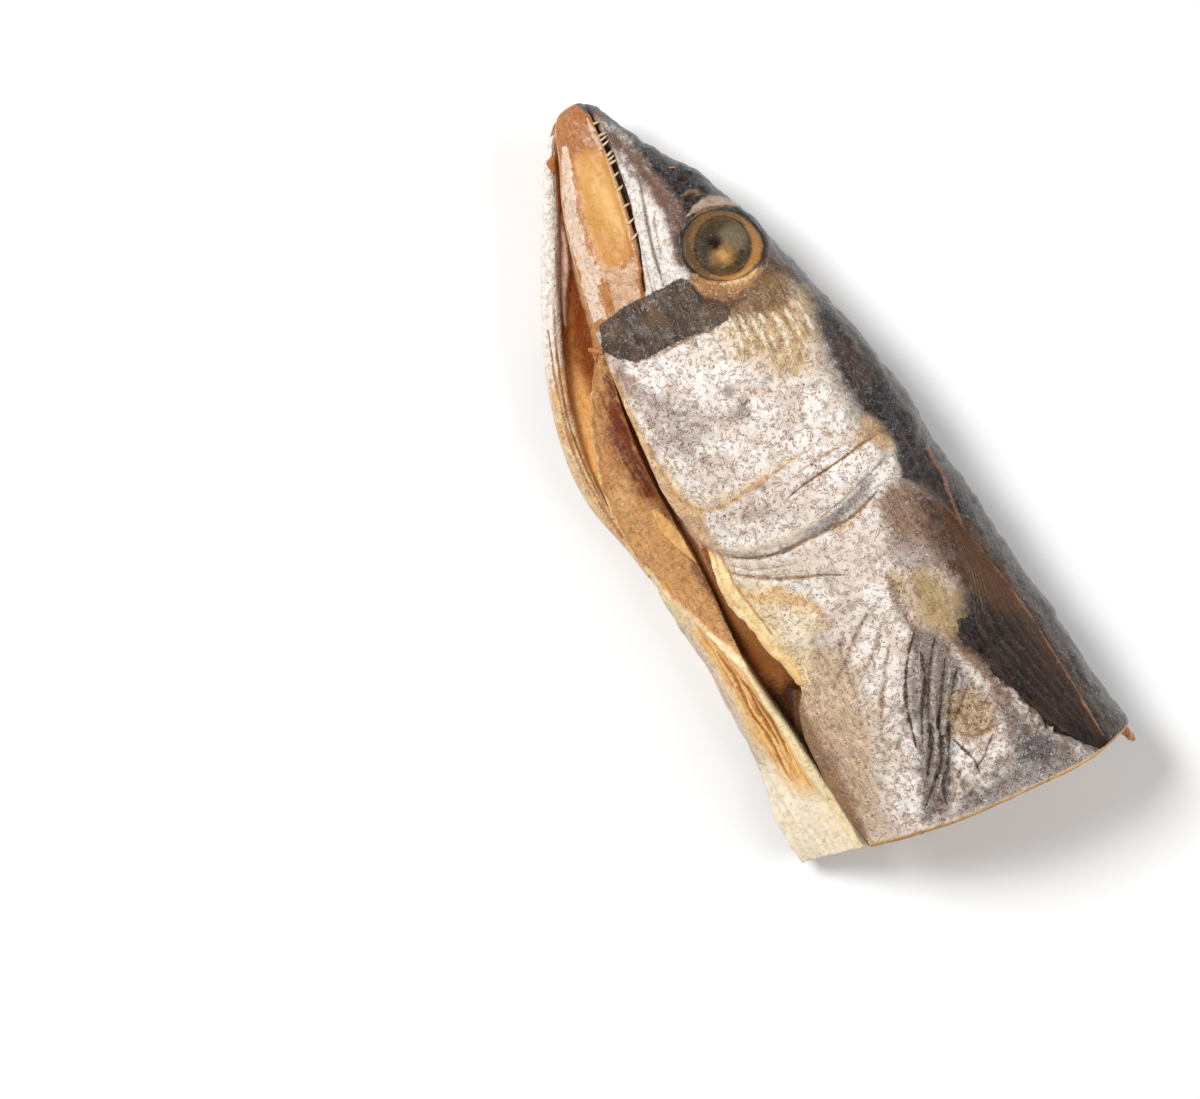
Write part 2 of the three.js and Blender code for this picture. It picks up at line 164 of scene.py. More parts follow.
@dataclass(frozen=True)
class Mark:
    """A patch or stroke on a surface, with its colour and its relief.

    soft is how far its edge fades and ragged how far it frays, both in mm. streak is the colour of the fibres
    in it, gloss its roughness, and calm the share of the curls and pinholes that it takes away.
    """

    name: str
    kind: MarkKind
    colour: Colour | None
    line: tuple[Point, ...]
    width: float | tuple[float, ...] = 0.0
    soft: float = 0.6
    ragged: float = 0.6
    strength: float = 1.0
    relief: float = 0.0
    edge: float = 0.6
    gloss: float | None = None
    streak: Colour | None = None
    calm: float = 0.0

    @property
    def half_width(self) -> float:
        """Half of the stroke's greatest width."""
        return max(self.width) / 2 if isinstance(self.width, tuple) else self.width / 2

    def curve(self) -> Array:
        """The mark's line as rows of s, d and width, rounded between its points."""
        widths = self.width if isinstance(self.width, tuple) else (self.width,) * len(self.line)
        points = np.column_stack([np.array(self.line, float), widths])
        if self.kind is MarkKind.PATCH:
            padded = np.vstack([points[-1:], points, points[:2]])
        else:
            padded = np.vstack([2 * points[:1] - points[1:2], points, 2 * points[-1:] - points[-2:-1]])
        t = np.linspace(0, 1, 5)[:-1, None]
        pieces = []
        for a, b, c, d in zip(padded, padded[1:], padded[2:], padded[3:]):
            bend = (2 * a - 5 * b + 4 * c - d) * t**2 + (3 * b - a - 3 * c + d) * t**3
            pieces.append(b + 0.5 * ((c - a) * t + bend))
        end = points[:1] if self.kind is MarkKind.PATCH else points[-1:]
        return np.vstack([*pieces, end])

    def reading(self, s: Array, d: Array) -> tuple[Array, Array]:
        """Where places lie on the mark, in mm.

        Args:
            s: places along the fish.
            d: places across it.

        Returns:
            The number for the paint: how far inside a patch each place is, or how far aside of a stroke's
            middle, with a sign for its side, so that it stays true between the places of a coarse mesh. Then
            the distance inside the mark, negative outside it.
        """
        curve = self.curve()
        reach = 6 + self.soft + self.ragged + self.edge + curve[:, 2].max()
        low, high = curve[:, :2].min(0) - reach, curve[:, :2].max(0) + reach
        near = (s > low[0]) & (s < high[0]) & (d > low[1]) & (d < high[1])
        paint, distance = np.full(s.shape, FAR_AWAY), np.full(s.shape, FAR_AWAY)
        if not near.any():
            return paint, distance
        x, y = s[near], d[near]
        best, aside, within = np.full(x.shape, 1e9), np.zeros(x.shape), np.zeros(x.shape)
        inside = np.zeros(x.shape, bool)
        last = len(curve) - 2
        for k, ((s0, d0, w0), (s1, d1, w1)) in enumerate(zip(curve, curve[1:])):
            run, rise = s1 - s0, d1 - d0
            t = ((x - s0) * run + (y - d0) * rise) / (run * run + rise * rise + 1e-9)
            beyond = (k == 0) & (t < 0) | (k == last) & (t > 1)
            t = np.clip(t, 0, 1)
            gap = np.hypot(x - s0 - t * run, y - d0 - t * rise)
            half = np.maximum(w0 + t * (w1 - w0), 0.1) / 2
            side = np.where((x - s0) * rise > (y - d0) * run, 1.0, -1.0)
            closer = gap < best
            best = np.where(closer, gap, best)
            aside = np.where(closer, side * np.where(beyond, -FAR_AWAY, gap / half * self.half_width), aside)
            within = np.where(closer, half - gap, within)
            inside ^= ((d0 > y) != (d1 > y)) & (x < run * (y - d0) / (rise if rise else 1e-9) + s0)
        if self.kind is MarkKind.PATCH:
            aside = within = np.where(inside, best, -best)
        paint[near], distance[near] = aside, within
        return paint, distance

    def height(self, distance: Array) -> Array:
        """The mark's relief, in mm, from the distance inside it."""
        return self.relief * smooth(-self.edge / 2, self.edge / 2, distance)


def patch(name: str, colour: Colour | None, line: Sequence[Point], **facts: Any) -> Mark:
    """A closed patch inside a line of (s, d) points."""
    return Mark(name, MarkKind.PATCH, colour, tuple(line), **facts)


def oval_line(middle: Point, radii: Point, count: int = 12) -> list[Point]:
    """Points on an oval round a middle."""
    turns = [math.tau * k / count for k in range(count)]
    return [(middle[0] + radii[0] * math.cos(a), middle[1] + radii[1] * math.sin(a)) for a in turns]


def oval(name: str, colour: Colour | None, middle: Point, radii: Point, **facts: Any) -> Mark:
    """An oval patch round a middle, with its radii along and across the fish."""
    return patch(name, colour, oval_line(middle, radii), **facts)


def stroke(name: str, colour: Colour | None, width: float | tuple[float, ...], line: Sequence[Point],
           **facts: Any) -> Mark:
    """A stroke of a width along an open line of (s, d) points."""
    return Mark(name, MarkKind.STROKE, colour, tuple(line), width, **facts)


def strokes(name: str, colour: Colour, width: tuple[float, ...], lines: Sequence[Sequence[Point]],
            **facts: Any) -> tuple[Mark, ...]:
    """Strokes of one kind along several lines, with their numbers in their names."""
    return tuple(stroke(f"{name}_{k}", colour, width, line, **facts) for k, line in enumerate(lines))


def mark_values(marks: Sequence[Mark], s: Array, d: Array) -> tuple[dict[str, Array], Array]:
    """Reads marks at places on a surface.

    Args:
        marks: the marks.
        s: places along the fish.
        d: places across it.

    Returns:
        The reading of each coloured mark, by its name, and the relief of them all.
    """
    values, relief = {}, np.zeros(s.shape)
    for mark in marks:
        paint, distance = mark.reading(s, d)
        relief += mark.height(distance)
        if mark.colour is not None:
            values[mark.name] = paint
    return values, relief


@dataclass(frozen=True)
class FishForm:
    """The fish's sizes along its length, and the surfaces that they give."""

    length: float = 204.0
    middle: float = 20.5
    back_rounding: float = 2.4
    belly_sweep: float = 1.9
    underside_sweep: float = 2.3
    snout_rounding: float = 3.5
    snout_bluntness: float = 0.72
    cut_start: float = 150.0
    back_reach: float = 41.0
    back: Profile = Profile((0, 1.3), (10, 6.2), (20, 10.9), (30, 16.8), (40, 20.6), (60, 26), (100, 33.6),
                            (120, 34.4), (160, 38.4), (204, 41))
    far: Profile = Profile((0, -9), (8, -15.5), (20, -23), (40, -35), (60, -44), (87, -48.9), (105, -45.7),
                           (140, -43.5), (170, -44.8), (190, -47.2), (204, -46.5))
    near: Profile = Profile((0, -8.4), (10, -12.6), (20, -17.4), (40, -23.6), (57, -27), (80, -29.6),
                            (98, -31), (112, -29.2), (123, -31), (140, -28.6), (153, -26), (160, -29.4),
                            (180, -32.3), (204, -31.2))
    widest: Profile = Profile((0, -3.5), (20, -1), (50, 3), (100, 4), (150, 3), (204, 2))
    half_thickness: Profile = Profile((0, 5), (10, 8.3), (20, 10.8), (50, 16.8), (70, 19.2), (100, 21.2),
                                      (140, 22.3), (204, 23))
    near_height: Profile = Profile((0, 23), (20, 25), (50, 28.5), (80, 31), (120, 31), (204, 28.5))
    far_height: Profile = Profile((0, 17), (10, 14.5), (20, 12), (40, 9), (60, 7.5), (110, 5), (204, 3.5))
    near_wall: Profile = Profile((0, 1.5), (20, 2.4), (60, 3.4), (204, 4))
    far_wall: Profile = Profile((0, 1.8), (20, 3), (60, 4), (204, 4.5))
    slit_depth: Profile = Profile((0, 0.4), (9, 0.8), (20, 5), (55, 8), (75, 13), (150, 14), (204, 13))
    slit_bed: Profile = Profile((85, 0), (112, 9), (150, 10), (178, 5), (204, 3))
    cut: Profile = Profile((-47, 194.3), (-38, 196), (-22, 199.4), (-10, 201.6), (10, 203.6), (27, 205),
                           (41, 203.6))
    mouth: Profile = Profile((0, 0.4), (5, 0.45), (10, 0.1), (20, -1.85), (30, -4.2), (40, -7.1),
                             (50, -11.7), (60, -13), (204, -9))

    def upper(self, s: Array, d: Array) -> Array:
        """Height of the skin that faces up."""
        c, w = self.widest(s), self.half_thickness(s)
        t = np.clip((d - c) / (self.back(s) - c), 0, 1)
        round_back = self.middle + w * np.sqrt(1 - t**self.back_rounding)
        t = np.maximum(c - d, 0) / (c - self.near(s))
        sweep = self.middle + w - (self.middle + w - self.near_height(s)) * t**self.belly_sweep
        return np.where(d >= c, round_back, sweep)

    def lower(self, s: Array, d: Array) -> Array:
        """Height of the skin that faces down, flat where it lies on the floor."""
        c, w = self.widest(s), self.half_thickness(s)
        t = np.clip((d - c) / (self.back(s) - c), 0, 1)
        round_back = self.middle - w * np.sqrt(1 - t**self.back_rounding)
        t = np.maximum(c - d, 0) / (c - self.far(s))
        sweep = self.middle - w + (self.far_height(s) - self.middle + w) * t**self.underside_sweep
        return np.maximum(0, np.where(d >= c, round_back, sweep))

    def true_s(self, s: Array, d: Array) -> Array:
        """The place along the fish, turned towards the slanting cut in the last stretch."""
        return s + (self.cut(d) - self.length) * smooth(self.cut_start, self.length, s) * s / self.length

    def snout_share(self, s: Array) -> Array:
        """How much of its full size a section keeps at the rounded snout."""
        t = np.clip(1 - s / self.snout_rounding, 0, 1)
        return self.snout_bluntness + (1 - self.snout_bluntness) * np.sqrt(1 - t * t)

    def on_part(self, true_s: Array, d: Array, z: Array) -> Array:
        """Places in the fish's frame as points of the part, in metres."""
        x = CAD_HIGH.x + (d - self.back_reach) * MM
        y = CAD_HIGH.y - true_s * MM
        return np.stack(np.broadcast_arrays(x, y, z * MM), -1)


FORM = FishForm()


def along_edge(edge: Profile, *places: float) -> tuple[Point, ...]:
    """A line that follows one edge of the fish."""
    return tuple((s, float(edge(s))) for s in places)


@dataclass(frozen=True)
class EyePlace:
    """Where the eye is, with directions as the shown side is looked at: right and down."""

    middle: Point = (49.3, 11.8)
    turn: float = math.radians(30)

    def at(self, right: Any, down: Any) -> tuple[Any, Any]:
        """A place at distances from the eye's middle."""
        sin, cos = math.sin(self.turn), math.cos(self.turn)
        return self.middle[0] + sin * right + cos * down, self.middle[1] + cos * right - sin * down

    def arc(self, right: float, down: float, start: float = 0, end: float = 360,
            count: int = 25) -> tuple[Point, ...]:
        """Places on an oval round the eye.

        Args:
            right: its half width.
            down: its half height.
            start: the angle of the first place, in degrees from the right towards down.
            end: the angle of the last.
            count: how many places.

        Returns:
            The places.
        """
        turns = np.radians(np.linspace(start, end, count))
        return tuple(self.at(right * math.cos(a), down * math.sin(a)) for a in turns)

    def spot(self, name: str, colour: Colour | None, middle: Point, radii: Point, **facts: Any) -> Mark:
        """An oval patch at a distance right and down of the eye's middle."""
        line = [self.at(right, down) for right, down in oval_line(middle, radii)]
        return patch(name, colour, line, **facts)


EYE = EyePlace()


def grid_quads(rows: int, cols: int) -> Array:
    """Corner numbers of the quads between rows of points that each run round in a ring."""
    start = np.arange(rows - 1)[:, None] * cols
    here = np.arange(cols)[None, :]
    there = (here + 1) % cols
    corners = [start + here, start + there, start + cols + there, start + cols + here]
    return np.stack(corners, -1).reshape(-1, 4)


def loft_faces(rows: int, cols: int) -> list[list[int]]:
    """Faces of a closed skin over rows of points that each run round in a ring, with both ends shut."""
    ends = [list(range(cols)), list(range((rows - 1) * cols, rows * cols))]
    return grid_quads(rows, cols).tolist() + ends


def tube(path: Array, radii: Array, sides: int) -> Shape:
    """A closed round bar.

    Args:
        path: rows of s, d and z along its middle.
        radii: its radius at each of them.
        sides: how many points go round it.

    Returns:
        Its points in metres and its faces.
    """
    ahead = np.gradient(path, axis=0)
    ahead /= np.linalg.norm(ahead, axis=1, keepdims=True)
    aside = np.cross(ahead, (0.0, 0.0, 1.0))
    aside /= np.maximum(np.linalg.norm(aside, axis=1, keepdims=True), 1e-6)
    above = np.cross(aside, ahead)
    turns = np.linspace(0, math.tau, sides, endpoint=False)[None, :, None]
    ring = aside[:, None] * np.cos(turns) + above[:, None] * np.sin(turns)
    s, d, z = np.moveaxis(path[:, None] + ring * radii[:, None, None], -1, 0)
    return FORM.on_part(s, d, z).reshape(-1, 3), loft_faces(len(path), sides)


def joined(parts: Sequence[Shape]) -> Shape:
    """Several sets of points and faces as one."""
    points, faces, count = [], [], 0
    for part_points, part_faces in parts:
        points.append(part_points)
        faces += [[corner + count for corner in face] for face in part_faces]
        count += len(part_points)
    return np.vstack(points), faces


def arc_lengths(d: Array, z: Array) -> Array:
    """How far along its curve each point of a section lies."""
    return np.concatenate([[0], np.cumsum(np.hypot(np.diff(d), np.diff(z)))])


def grid_normals(points: Array) -> Array:
    """Unit directions out of a grid whose rows run back along the fish and columns towards its back."""
    out = np.cross(np.gradient(points, axis=0), np.gradient(points, axis=1))
    return out / np.maximum(np.linalg.norm(out, axis=-1, keepdims=True), 1e-12)


def blurred(values: Array, reach: int) -> Array:
    """A grid of values, averaged over reach cells each way."""
    kernel = np.ones(2 * reach + 1) / (2 * reach + 1)
    for axis in (0, 1):
        padded = np.pad(values, [(reach, reach) if a == axis else (0, 0) for a in (0, 1)], mode="edge")
        values = np.apply_along_axis(np.convolve, axis, padded, kernel, "valid")
    return values


def make_piece(name: str, points: Array, faces: Sequence[Sequence[int]],
               finishes: Sequence[bpy.types.Material], values: dict[str, Array] | None = None,
               slots: Array | None = None) -> bpy.types.Object:
    """Makes a smooth closed mesh that rides on the fish and stands for its solid.

    Args:
        name: the piece's name.
        points: its points in metres, in the part's frame.
        faces: corner numbers of its faces.
        finishes: its materials.
        values: named numbers at the points, for the materials to read.
        slots: which material each face has, the first if left out.

    Returns:
        The new object.
    """
    mesh = bpy.data.meshes.new(name)
    mesh.from_pydata(np.asarray(points).reshape(-1, 3).tolist(), [], [list(map(int, f)) for f in faces])
    for key, numbers in (values or {}).items():
        layer = mesh.attributes.new(key, "FLOAT", "POINT")
        layer.data.foreach_set("value", numbers.astype(np.float32).ravel())
    for finish in finishes:
        mesh.materials.append(finish)
    if slots is not None:
        mesh.polygons.foreach_set("material_index", slots.astype(np.int32))
    shaped = bmesh.new()
    shaped.from_mesh(mesh)
    bmesh.ops.recalc_face_normals(shaped, faces=shaped.faces)
    shaped.to_mesh(mesh)
    shaped.free()
    mesh.shade_smooth()
    piece = bpy.data.objects.new(name, mesh)
    bpy.context.scene.collection.objects.link(piece)
    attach(piece, "root")
    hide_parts(NODE)
    LOG.info("%s: %d points, %d faces", name, len(mesh.vertices), len(mesh.polygons))
    return piece


class Bench:
    """A node tree and short ways to add nodes to it."""

    def __init__(self, tree: bpy.types.NodeTree) -> None:
        """Takes the tree that the nodes go in."""
        self.tree = tree

    def add(self, kind: str, sockets: dict[Any, Any] | None = None, **settings: Any) -> bpy.types.Node:
        """Adds a node.

        Args:
            kind: the node's type.
            sockets: input names or numbers, each with a value or with the socket that feeds it.
            settings: the node's own properties.

        Returns:
            The new node.
        """
        node = self.tree.nodes.new(kind)
        for name, value in settings.items():
            setattr(node, name, value)
        for key, value in (sockets or {}).items():
            if isinstance(value, Socket):
                self.tree.links.new(value, node.inputs[key])
            else:
                node.inputs[key].default_value = value
        return node

    def math(self, operation: str, *terms: Any) -> Socket:
        """The result of a sum on values or sockets."""
        return self.add("ShaderNodeMath", dict(enumerate(terms)), operation=operation).outputs[0]

    def blend(self, share: Any, first: Any, second: Any, blend_type: str = "MIX") -> Socket:
        """A colour between two others."""
        sockets = {0: share, 6: first, 7: second}
        return self.add("ShaderNodeMix", sockets, data_type="RGBA", blend_type=blend_type).outputs[2]

    def blend_number(self, share: Any, first: Any, second: Any) -> Socket:
        """A number between two others."""
        return self.add("ShaderNodeMix", {0: share, 2: first, 3: second}, data_type="FLOAT").outputs[0]

    def ramp(self, value: Any, low: Any, high: Any, start: float = 0.0, end: float = 1.0) -> Socket:
        """A value mapped smoothly from low..high to start..end."""
        sockets = {"Value": value, "From Min": low, "From Max": high, "To Min": start, "To Max": end}
        return self.add("ShaderNodeMapRange", sockets, interpolation_type="SMOOTHSTEP").outputs[0]

    def noise(self, vector: Any, scale: Any, detail: float = 2.0, twist: float = 0.0) -> Socket:
        """Smooth noise from 0 to 1."""
        sockets = {"Vector": vector, "Scale": scale, "Detail": detail, "Distortion": twist}
        return self.add("ShaderNodeTexNoise", sockets).outputs[0]

    def stretched(self, vector: Any, along: float) -> Socket:
        """A position squeezed along the fish, so that what it feeds runs out into streaks."""
        sockets = {"Vector": vector, "Scale": (1.0, along, 1.0)}
        return self.add("ShaderNodeMapping", sockets).outputs[0]


class SurfaceGroup:
    """A shared effect: a node group with named inputs and outputs, built once."""

    name = "effect"
    inputs: dict[str, float | None] = {}
    outputs: tuple[str, ...] = ()

    def tree(self) -> bpy.types.NodeTree:
        """The group, made at the first call. An input with no value is a position."""
        found = bpy.data.node_groups.get(self.name)
        if found:
            return found
        made = bpy.data.node_groups.new(self.name, "ShaderNodeTree")
        for key, value in self.inputs.items():
            kind = "NodeSocketVector" if value is None else "NodeSocketFloat"
            socket = made.interface.new_socket(name=key, in_out="INPUT", socket_type=kind)
            if value is not None:
                socket.default_value = value
        for key in self.outputs:
            made.interface.new_socket(name=key, in_out="OUTPUT", socket_type="NodeSocketFloat")
        bench = Bench(made)
        given = bench.add("NodeGroupInput").outputs
        bench.add("NodeGroupOutput", self.effect(bench, given))
        return made

    def effect(self, bench: Bench, given: Any) -> dict[str, Socket]:
        """The sockets that feed the outputs, by name."""
        raise NotImplementedError

    def use(self, bench: Bench, **sockets: Any) -> bpy.types.Node:
        """Places the group in a material; an underscore in a keyword stands for a space."""
        named = {key.replace("_", " "): value for key, value in sockets.items()}
        return bench.add("ShaderNodeGroup", named, node_tree=self.tree())


class FrayedEdge(SurfaceGroup):
    """Turns the distance inside a mark into a mask with a frayed, soft edge."""

    name = "frayed_edge"
    inputs = {"Distance": 0.0, "Fray": 0.0, "Ragged": 0.5, "Soft": 0.5, "Strength": 1.0}
    outputs = ("Mask",)

    def effect(self, bench: Bench, given: Any) -> dict[str, Socket]:
        """Moves the edge by the fray, then fades it."""
        moved = bench.math("MULTIPLY_ADD", given["Fray"], given["Ragged"], given["Distance"])
        under = bench.math("MULTIPLY", given["Soft"], -1.0)
        mask = bench.ramp(moved, under, given["Soft"])
        return {"Mask": bench.math("MULTIPLY", mask, given["Strength"])}


class DriedSurface(SurfaceGroup):
    """Curls, pinholes, flakes, fibres and clouds of a dried surface, at the real scale in mm."""

    name = "dried_surface"
    inputs = {"Position": None, "Fibre Position": None, "Curl Scale": 0.36, "Curl Height": 0.3,
              "Fibre Scale": 1.4}
    outputs = ("Curls", "Crest Highlights", "Pinholes", "Flakes", "Fibres", "Clouds", "Fray", "Height")
    mean_height = 1.8
    mean_fray = 2.25
    contours = 8.0
    curl_edge = (0.25, 0.06)
    crest_edge = (0.3, 0.44)
    break_scale, break_edge = 0.75, (0.46, 0.55)
    pinhole_scale, pinhole_edge, cells_without = 0.6, (0.22, 0.1), 0.66
    flake_scale, flake_edge = 0.16, (0.53, 0.57)
    cloud_scale, coarse_scale, fine_scale = 0.09, 0.28, 1.1
    coarse_fray, fine_fray = 3.2, 1.3
    coarse_height, fine_height, fibre_height = 2.4, 0.7, 0.7
    pinhole_depth, flake_depth = 0.4, 0.4

    def effect(self, bench: Bench, given: Any) -> dict[str, Socket]:
        """Draws the curls as short pieces of the contour lines of a noise."""
        place = given["Position"]
        swirl = bench.noise(place, given["Curl Scale"], 1.5, 1.2)
        wave = bench.math("PINGPONG", bench.math("MULTIPLY", swirl, self.contours), 0.5)
        breaks = bench.ramp(bench.noise(place, self.break_scale, 2.0), *self.break_edge)
        curls = bench.math("MULTIPLY", bench.ramp(wave, *self.curl_edge), breaks)
        # the crests are raised in the relief below and also feed the painted highlight of each finish
        crests = bench.math("MULTIPLY", bench.ramp(wave, *self.crest_edge), breaks)
        cells = bench.add("ShaderNodeTexVoronoi", {"Vector": place, "Scale": self.pinhole_scale})
        dot = bench.ramp(cells.outputs["Distance"], *self.pinhole_edge)
        chosen = bench.math("GREATER_THAN", cells.outputs["Color"], self.cells_without)
        pinholes = bench.math("MULTIPLY", dot, chosen)
        flakes = bench.ramp(bench.noise(place, self.flake_scale, 6.0), *self.flake_edge)
        fibres = bench.noise(given["Fibre Position"], given["Fibre Scale"], 3.0, 0.6)
        clouds = bench.noise(place, self.cloud_scale, 4.0, 0.4)
        coarse = bench.noise(place, self.coarse_scale, 3.0)
        fine = bench.noise(place, self.fine_scale, 2.0)
        both = bench.math("MULTIPLY", coarse, self.coarse_fray)
        both = bench.math("MULTIPLY_ADD", fine, self.fine_fray, both)
        fray = bench.math("SUBTRACT", both, self.mean_fray)
        ripple = bench.math("MULTIPLY", fibres, self.fibre_height)
        ripple = bench.math("MULTIPLY_ADD", coarse, self.coarse_height, ripple)
        drawn = bench.math("SUBTRACT", crests, curls)
        ripple = bench.math("MULTIPLY_ADD", drawn, given["Curl Height"], ripple)
        ripple = bench.math("MULTIPLY_ADD", fine, self.fine_height, ripple)
        sunk = bench.math("MULTIPLY", flakes, self.flake_depth)
        sunk = bench.math("MULTIPLY_ADD", pinholes, self.pinhole_depth, sunk)
        height = bench.math("SUBTRACT", bench.math("SUBTRACT", ripple, sunk), self.mean_height)
        return {"Curls": curls, "Crest Highlights": crests, "Pinholes": pinholes, "Flakes": flakes, "Fibres": fibres,
                "Clouds": clouds, "Fray": fray, "Height": height}


@dataclass(frozen=True)
class DriedFinish:
    """The finish of a dried surface: its own colours, then the marks that lie on it, with a painted highlight
    on raised crests and painted shade in recesses.
    """

    name: str
    base: Colour
    cloud: Colour
    flake: Colour
    fibre: Colour
    marks: tuple[Mark, ...] = ()
    cloud_share: float = 0.6
    flake_share: float = 0.6
    fibre_share: float = 0.3
    curl_share: float = 0.75
    # share of the painted highlight on the raised crests; its near-white colour is set below
    crest_highlight_share: float = 0.3
    pinhole_share: float = 0.85
    curl: Colour = (186, 138, 92)
    # colour of the painted highlight on the crests
    crest_highlight: Colour = (255, 251, 246)
    pinhole: Colour = (128, 82, 48)
    # colour of the painted shade laid into recesses, where the skin lies below its surroundings
    hollow_shade: Colour = (104, 72, 46)
    curl_scale: float = 0.36
    curl_height: float = 0.3
    fibre_scale: float = 1.4
    fibre_stretch: float = 0.15
    roughness: float = 0.42
    bump: float = 0.6
    bump_depth: float = 0.35
    coat: float = 0.0
    coat_roughness: float = 0.2
    specular: float = 0.35
    cloud_edge: Point = (0.4, 0.64)
    fibre_edge: Point = (0.48, 0.72)
    streak_edge: Point = (0.42, 0.64)
    hollow_shade_edge: Point = (0.15, 0.9)
    hollow_shade_share: float = 0.4
    rough_spread: float = 0.2
    shade_spread: float = 0.6
    shade_share: float = 0.6
    calm_height: float = 0.25

    def material(self) -> bpy.types.Material:
        """Builds the material from the finish's values."""
        made = bpy.data.materials.new(self.name)
        made.use_nodes = True
        bench = Bench(made.node_tree)
        made.node_tree.nodes.clear()
        metres = bench.add("ShaderNodeTexCoord").outputs["Object"]
        place = bench.add("ShaderNodeVectorMath", {0: metres, "Scale": 1 / MM}, operation="SCALE").outputs[0]
        surface = DriedSurface().use(
            bench, Position=place, Fibre_Position=bench.stretched(place, self.fibre_stretch),
            Curl_Scale=self.curl_scale, Curl_Height=self.curl_height, Fibre_Scale=self.fibre_scale).outputs
        clouds = bench.math("MULTIPLY", bench.ramp(surface["Clouds"], *self.cloud_edge), self.cloud_share)
        colour = bench.blend(clouds, linear(self.base), linear(self.cloud))
        flakes = bench.math("MULTIPLY", surface["Flakes"], self.flake_share)
        colour = bench.blend(flakes, colour, linear(self.flake))
        fibres = bench.math("MULTIPLY", bench.ramp(surface["Fibres"], *self.fibre_edge), self.fibre_share)
        colour = bench.blend(fibres, colour, linear(self.fibre))
        streaks = bench.ramp(surface["Fibres"], *self.streak_edge)
        smoothest = self.roughness - self.rough_spread / 2
        rough: Any = bench.math("MULTIPLY_ADD", surface["Clouds"], self.rough_spread, smoothest)
        curled: Any = 1.0
        for mark in (m for m in self.marks if m.colour is not None):
            mask = self.mask_of(bench, mark, surface["Fray"])
            colour = bench.blend(mask, colour, linear(mark.colour))
            if mark.streak is not None:
                colour = bench.blend(bench.math("MULTIPLY", mask, streaks), colour, linear(mark.streak))
            if mark.gloss is not None:
                rough = bench.blend_number(mask, rough, mark.gloss)
            if mark.calm:
                curled = bench.blend_number(mask, curled, 1 - mark.calm)
        shade = bench.math("MULTIPLY_ADD", surface["Fibres"], self.shade_spread, 1 - self.shade_spread / 2)
        grey = bench.add("ShaderNodeCombineColor", {0: shade, 1: shade, 2: shade}).outputs[0]
        colour = bench.blend(self.shade_share, colour, grey, "MULTIPLY")
        # curls and pinholes are the skin's own specks; the crests get a painted highlight
        for effect, share, tint, blend_type in (("Curls", self.curl_share, self.curl, "MULTIPLY"),
                                                ("Pinholes", self.pinhole_share, self.pinhole, "MULTIPLY"),
                                                ("Crest Highlights", self.crest_highlight_share, self.crest_highlight, "MIX")):
            shown = bench.math("MULTIPLY", bench.math("MULTIPLY", surface[effect], share), curled)
            colour = bench.blend(shown, colour, linear(tint), blend_type)
        # painted shade: the colour darkens where the skin lies lower than its surroundings
        hollow_shade = bench.add("ShaderNodeAttribute", attribute_name="hollow_shade").outputs["Fac"]
        hollow_shade_mask = bench.ramp(hollow_shade, *self.hollow_shade_edge, 0.0, self.hollow_shade_share)
        colour = bench.blend(hollow_shade_mask, colour, linear(self.hollow_shade))
        level = bench.math("MULTIPLY_ADD", curled, 1 - self.calm_height, self.calm_height)
        height = bench.math("MULTIPLY", surface["Height"], level)
        bump = bench.add("ShaderNodeBump", {"Strength": self.bump, "Distance": self.bump_depth * MM,
                                            "Height": height})
        shader = bench.add("ShaderNodeBsdfPrincipled", {
            "Base Color": colour, "Roughness": rough, "Normal": bump.outputs[0], "Coat Weight": self.coat,
            "Coat Roughness": self.coat_roughness, "Specular IOR Level": self.specular})
        bench.add("ShaderNodeOutputMaterial", {"Surface": shader.outputs[0]})
        return made

    @staticmethod
    def mask_of(bench: Bench, mark: Mark, fray: Socket) -> Socket:
        """Where a mark shows, with its edge frayed."""
        inside = bench.add("ShaderNodeAttribute", attribute_name=mark.name).outputs["Fac"]
        if mark.kind is MarkKind.STROKE:
            inside = bench.math("SUBTRACT", mark.half_width, bench.math("ABSOLUTE", inside))
        edge = FrayedEdge().use(bench, Distance=inside, Fray=fray, Ragged=mark.ragged, Soft=mark.soft,
                                Strength=mark.strength)
        return edge.outputs["Mask"]


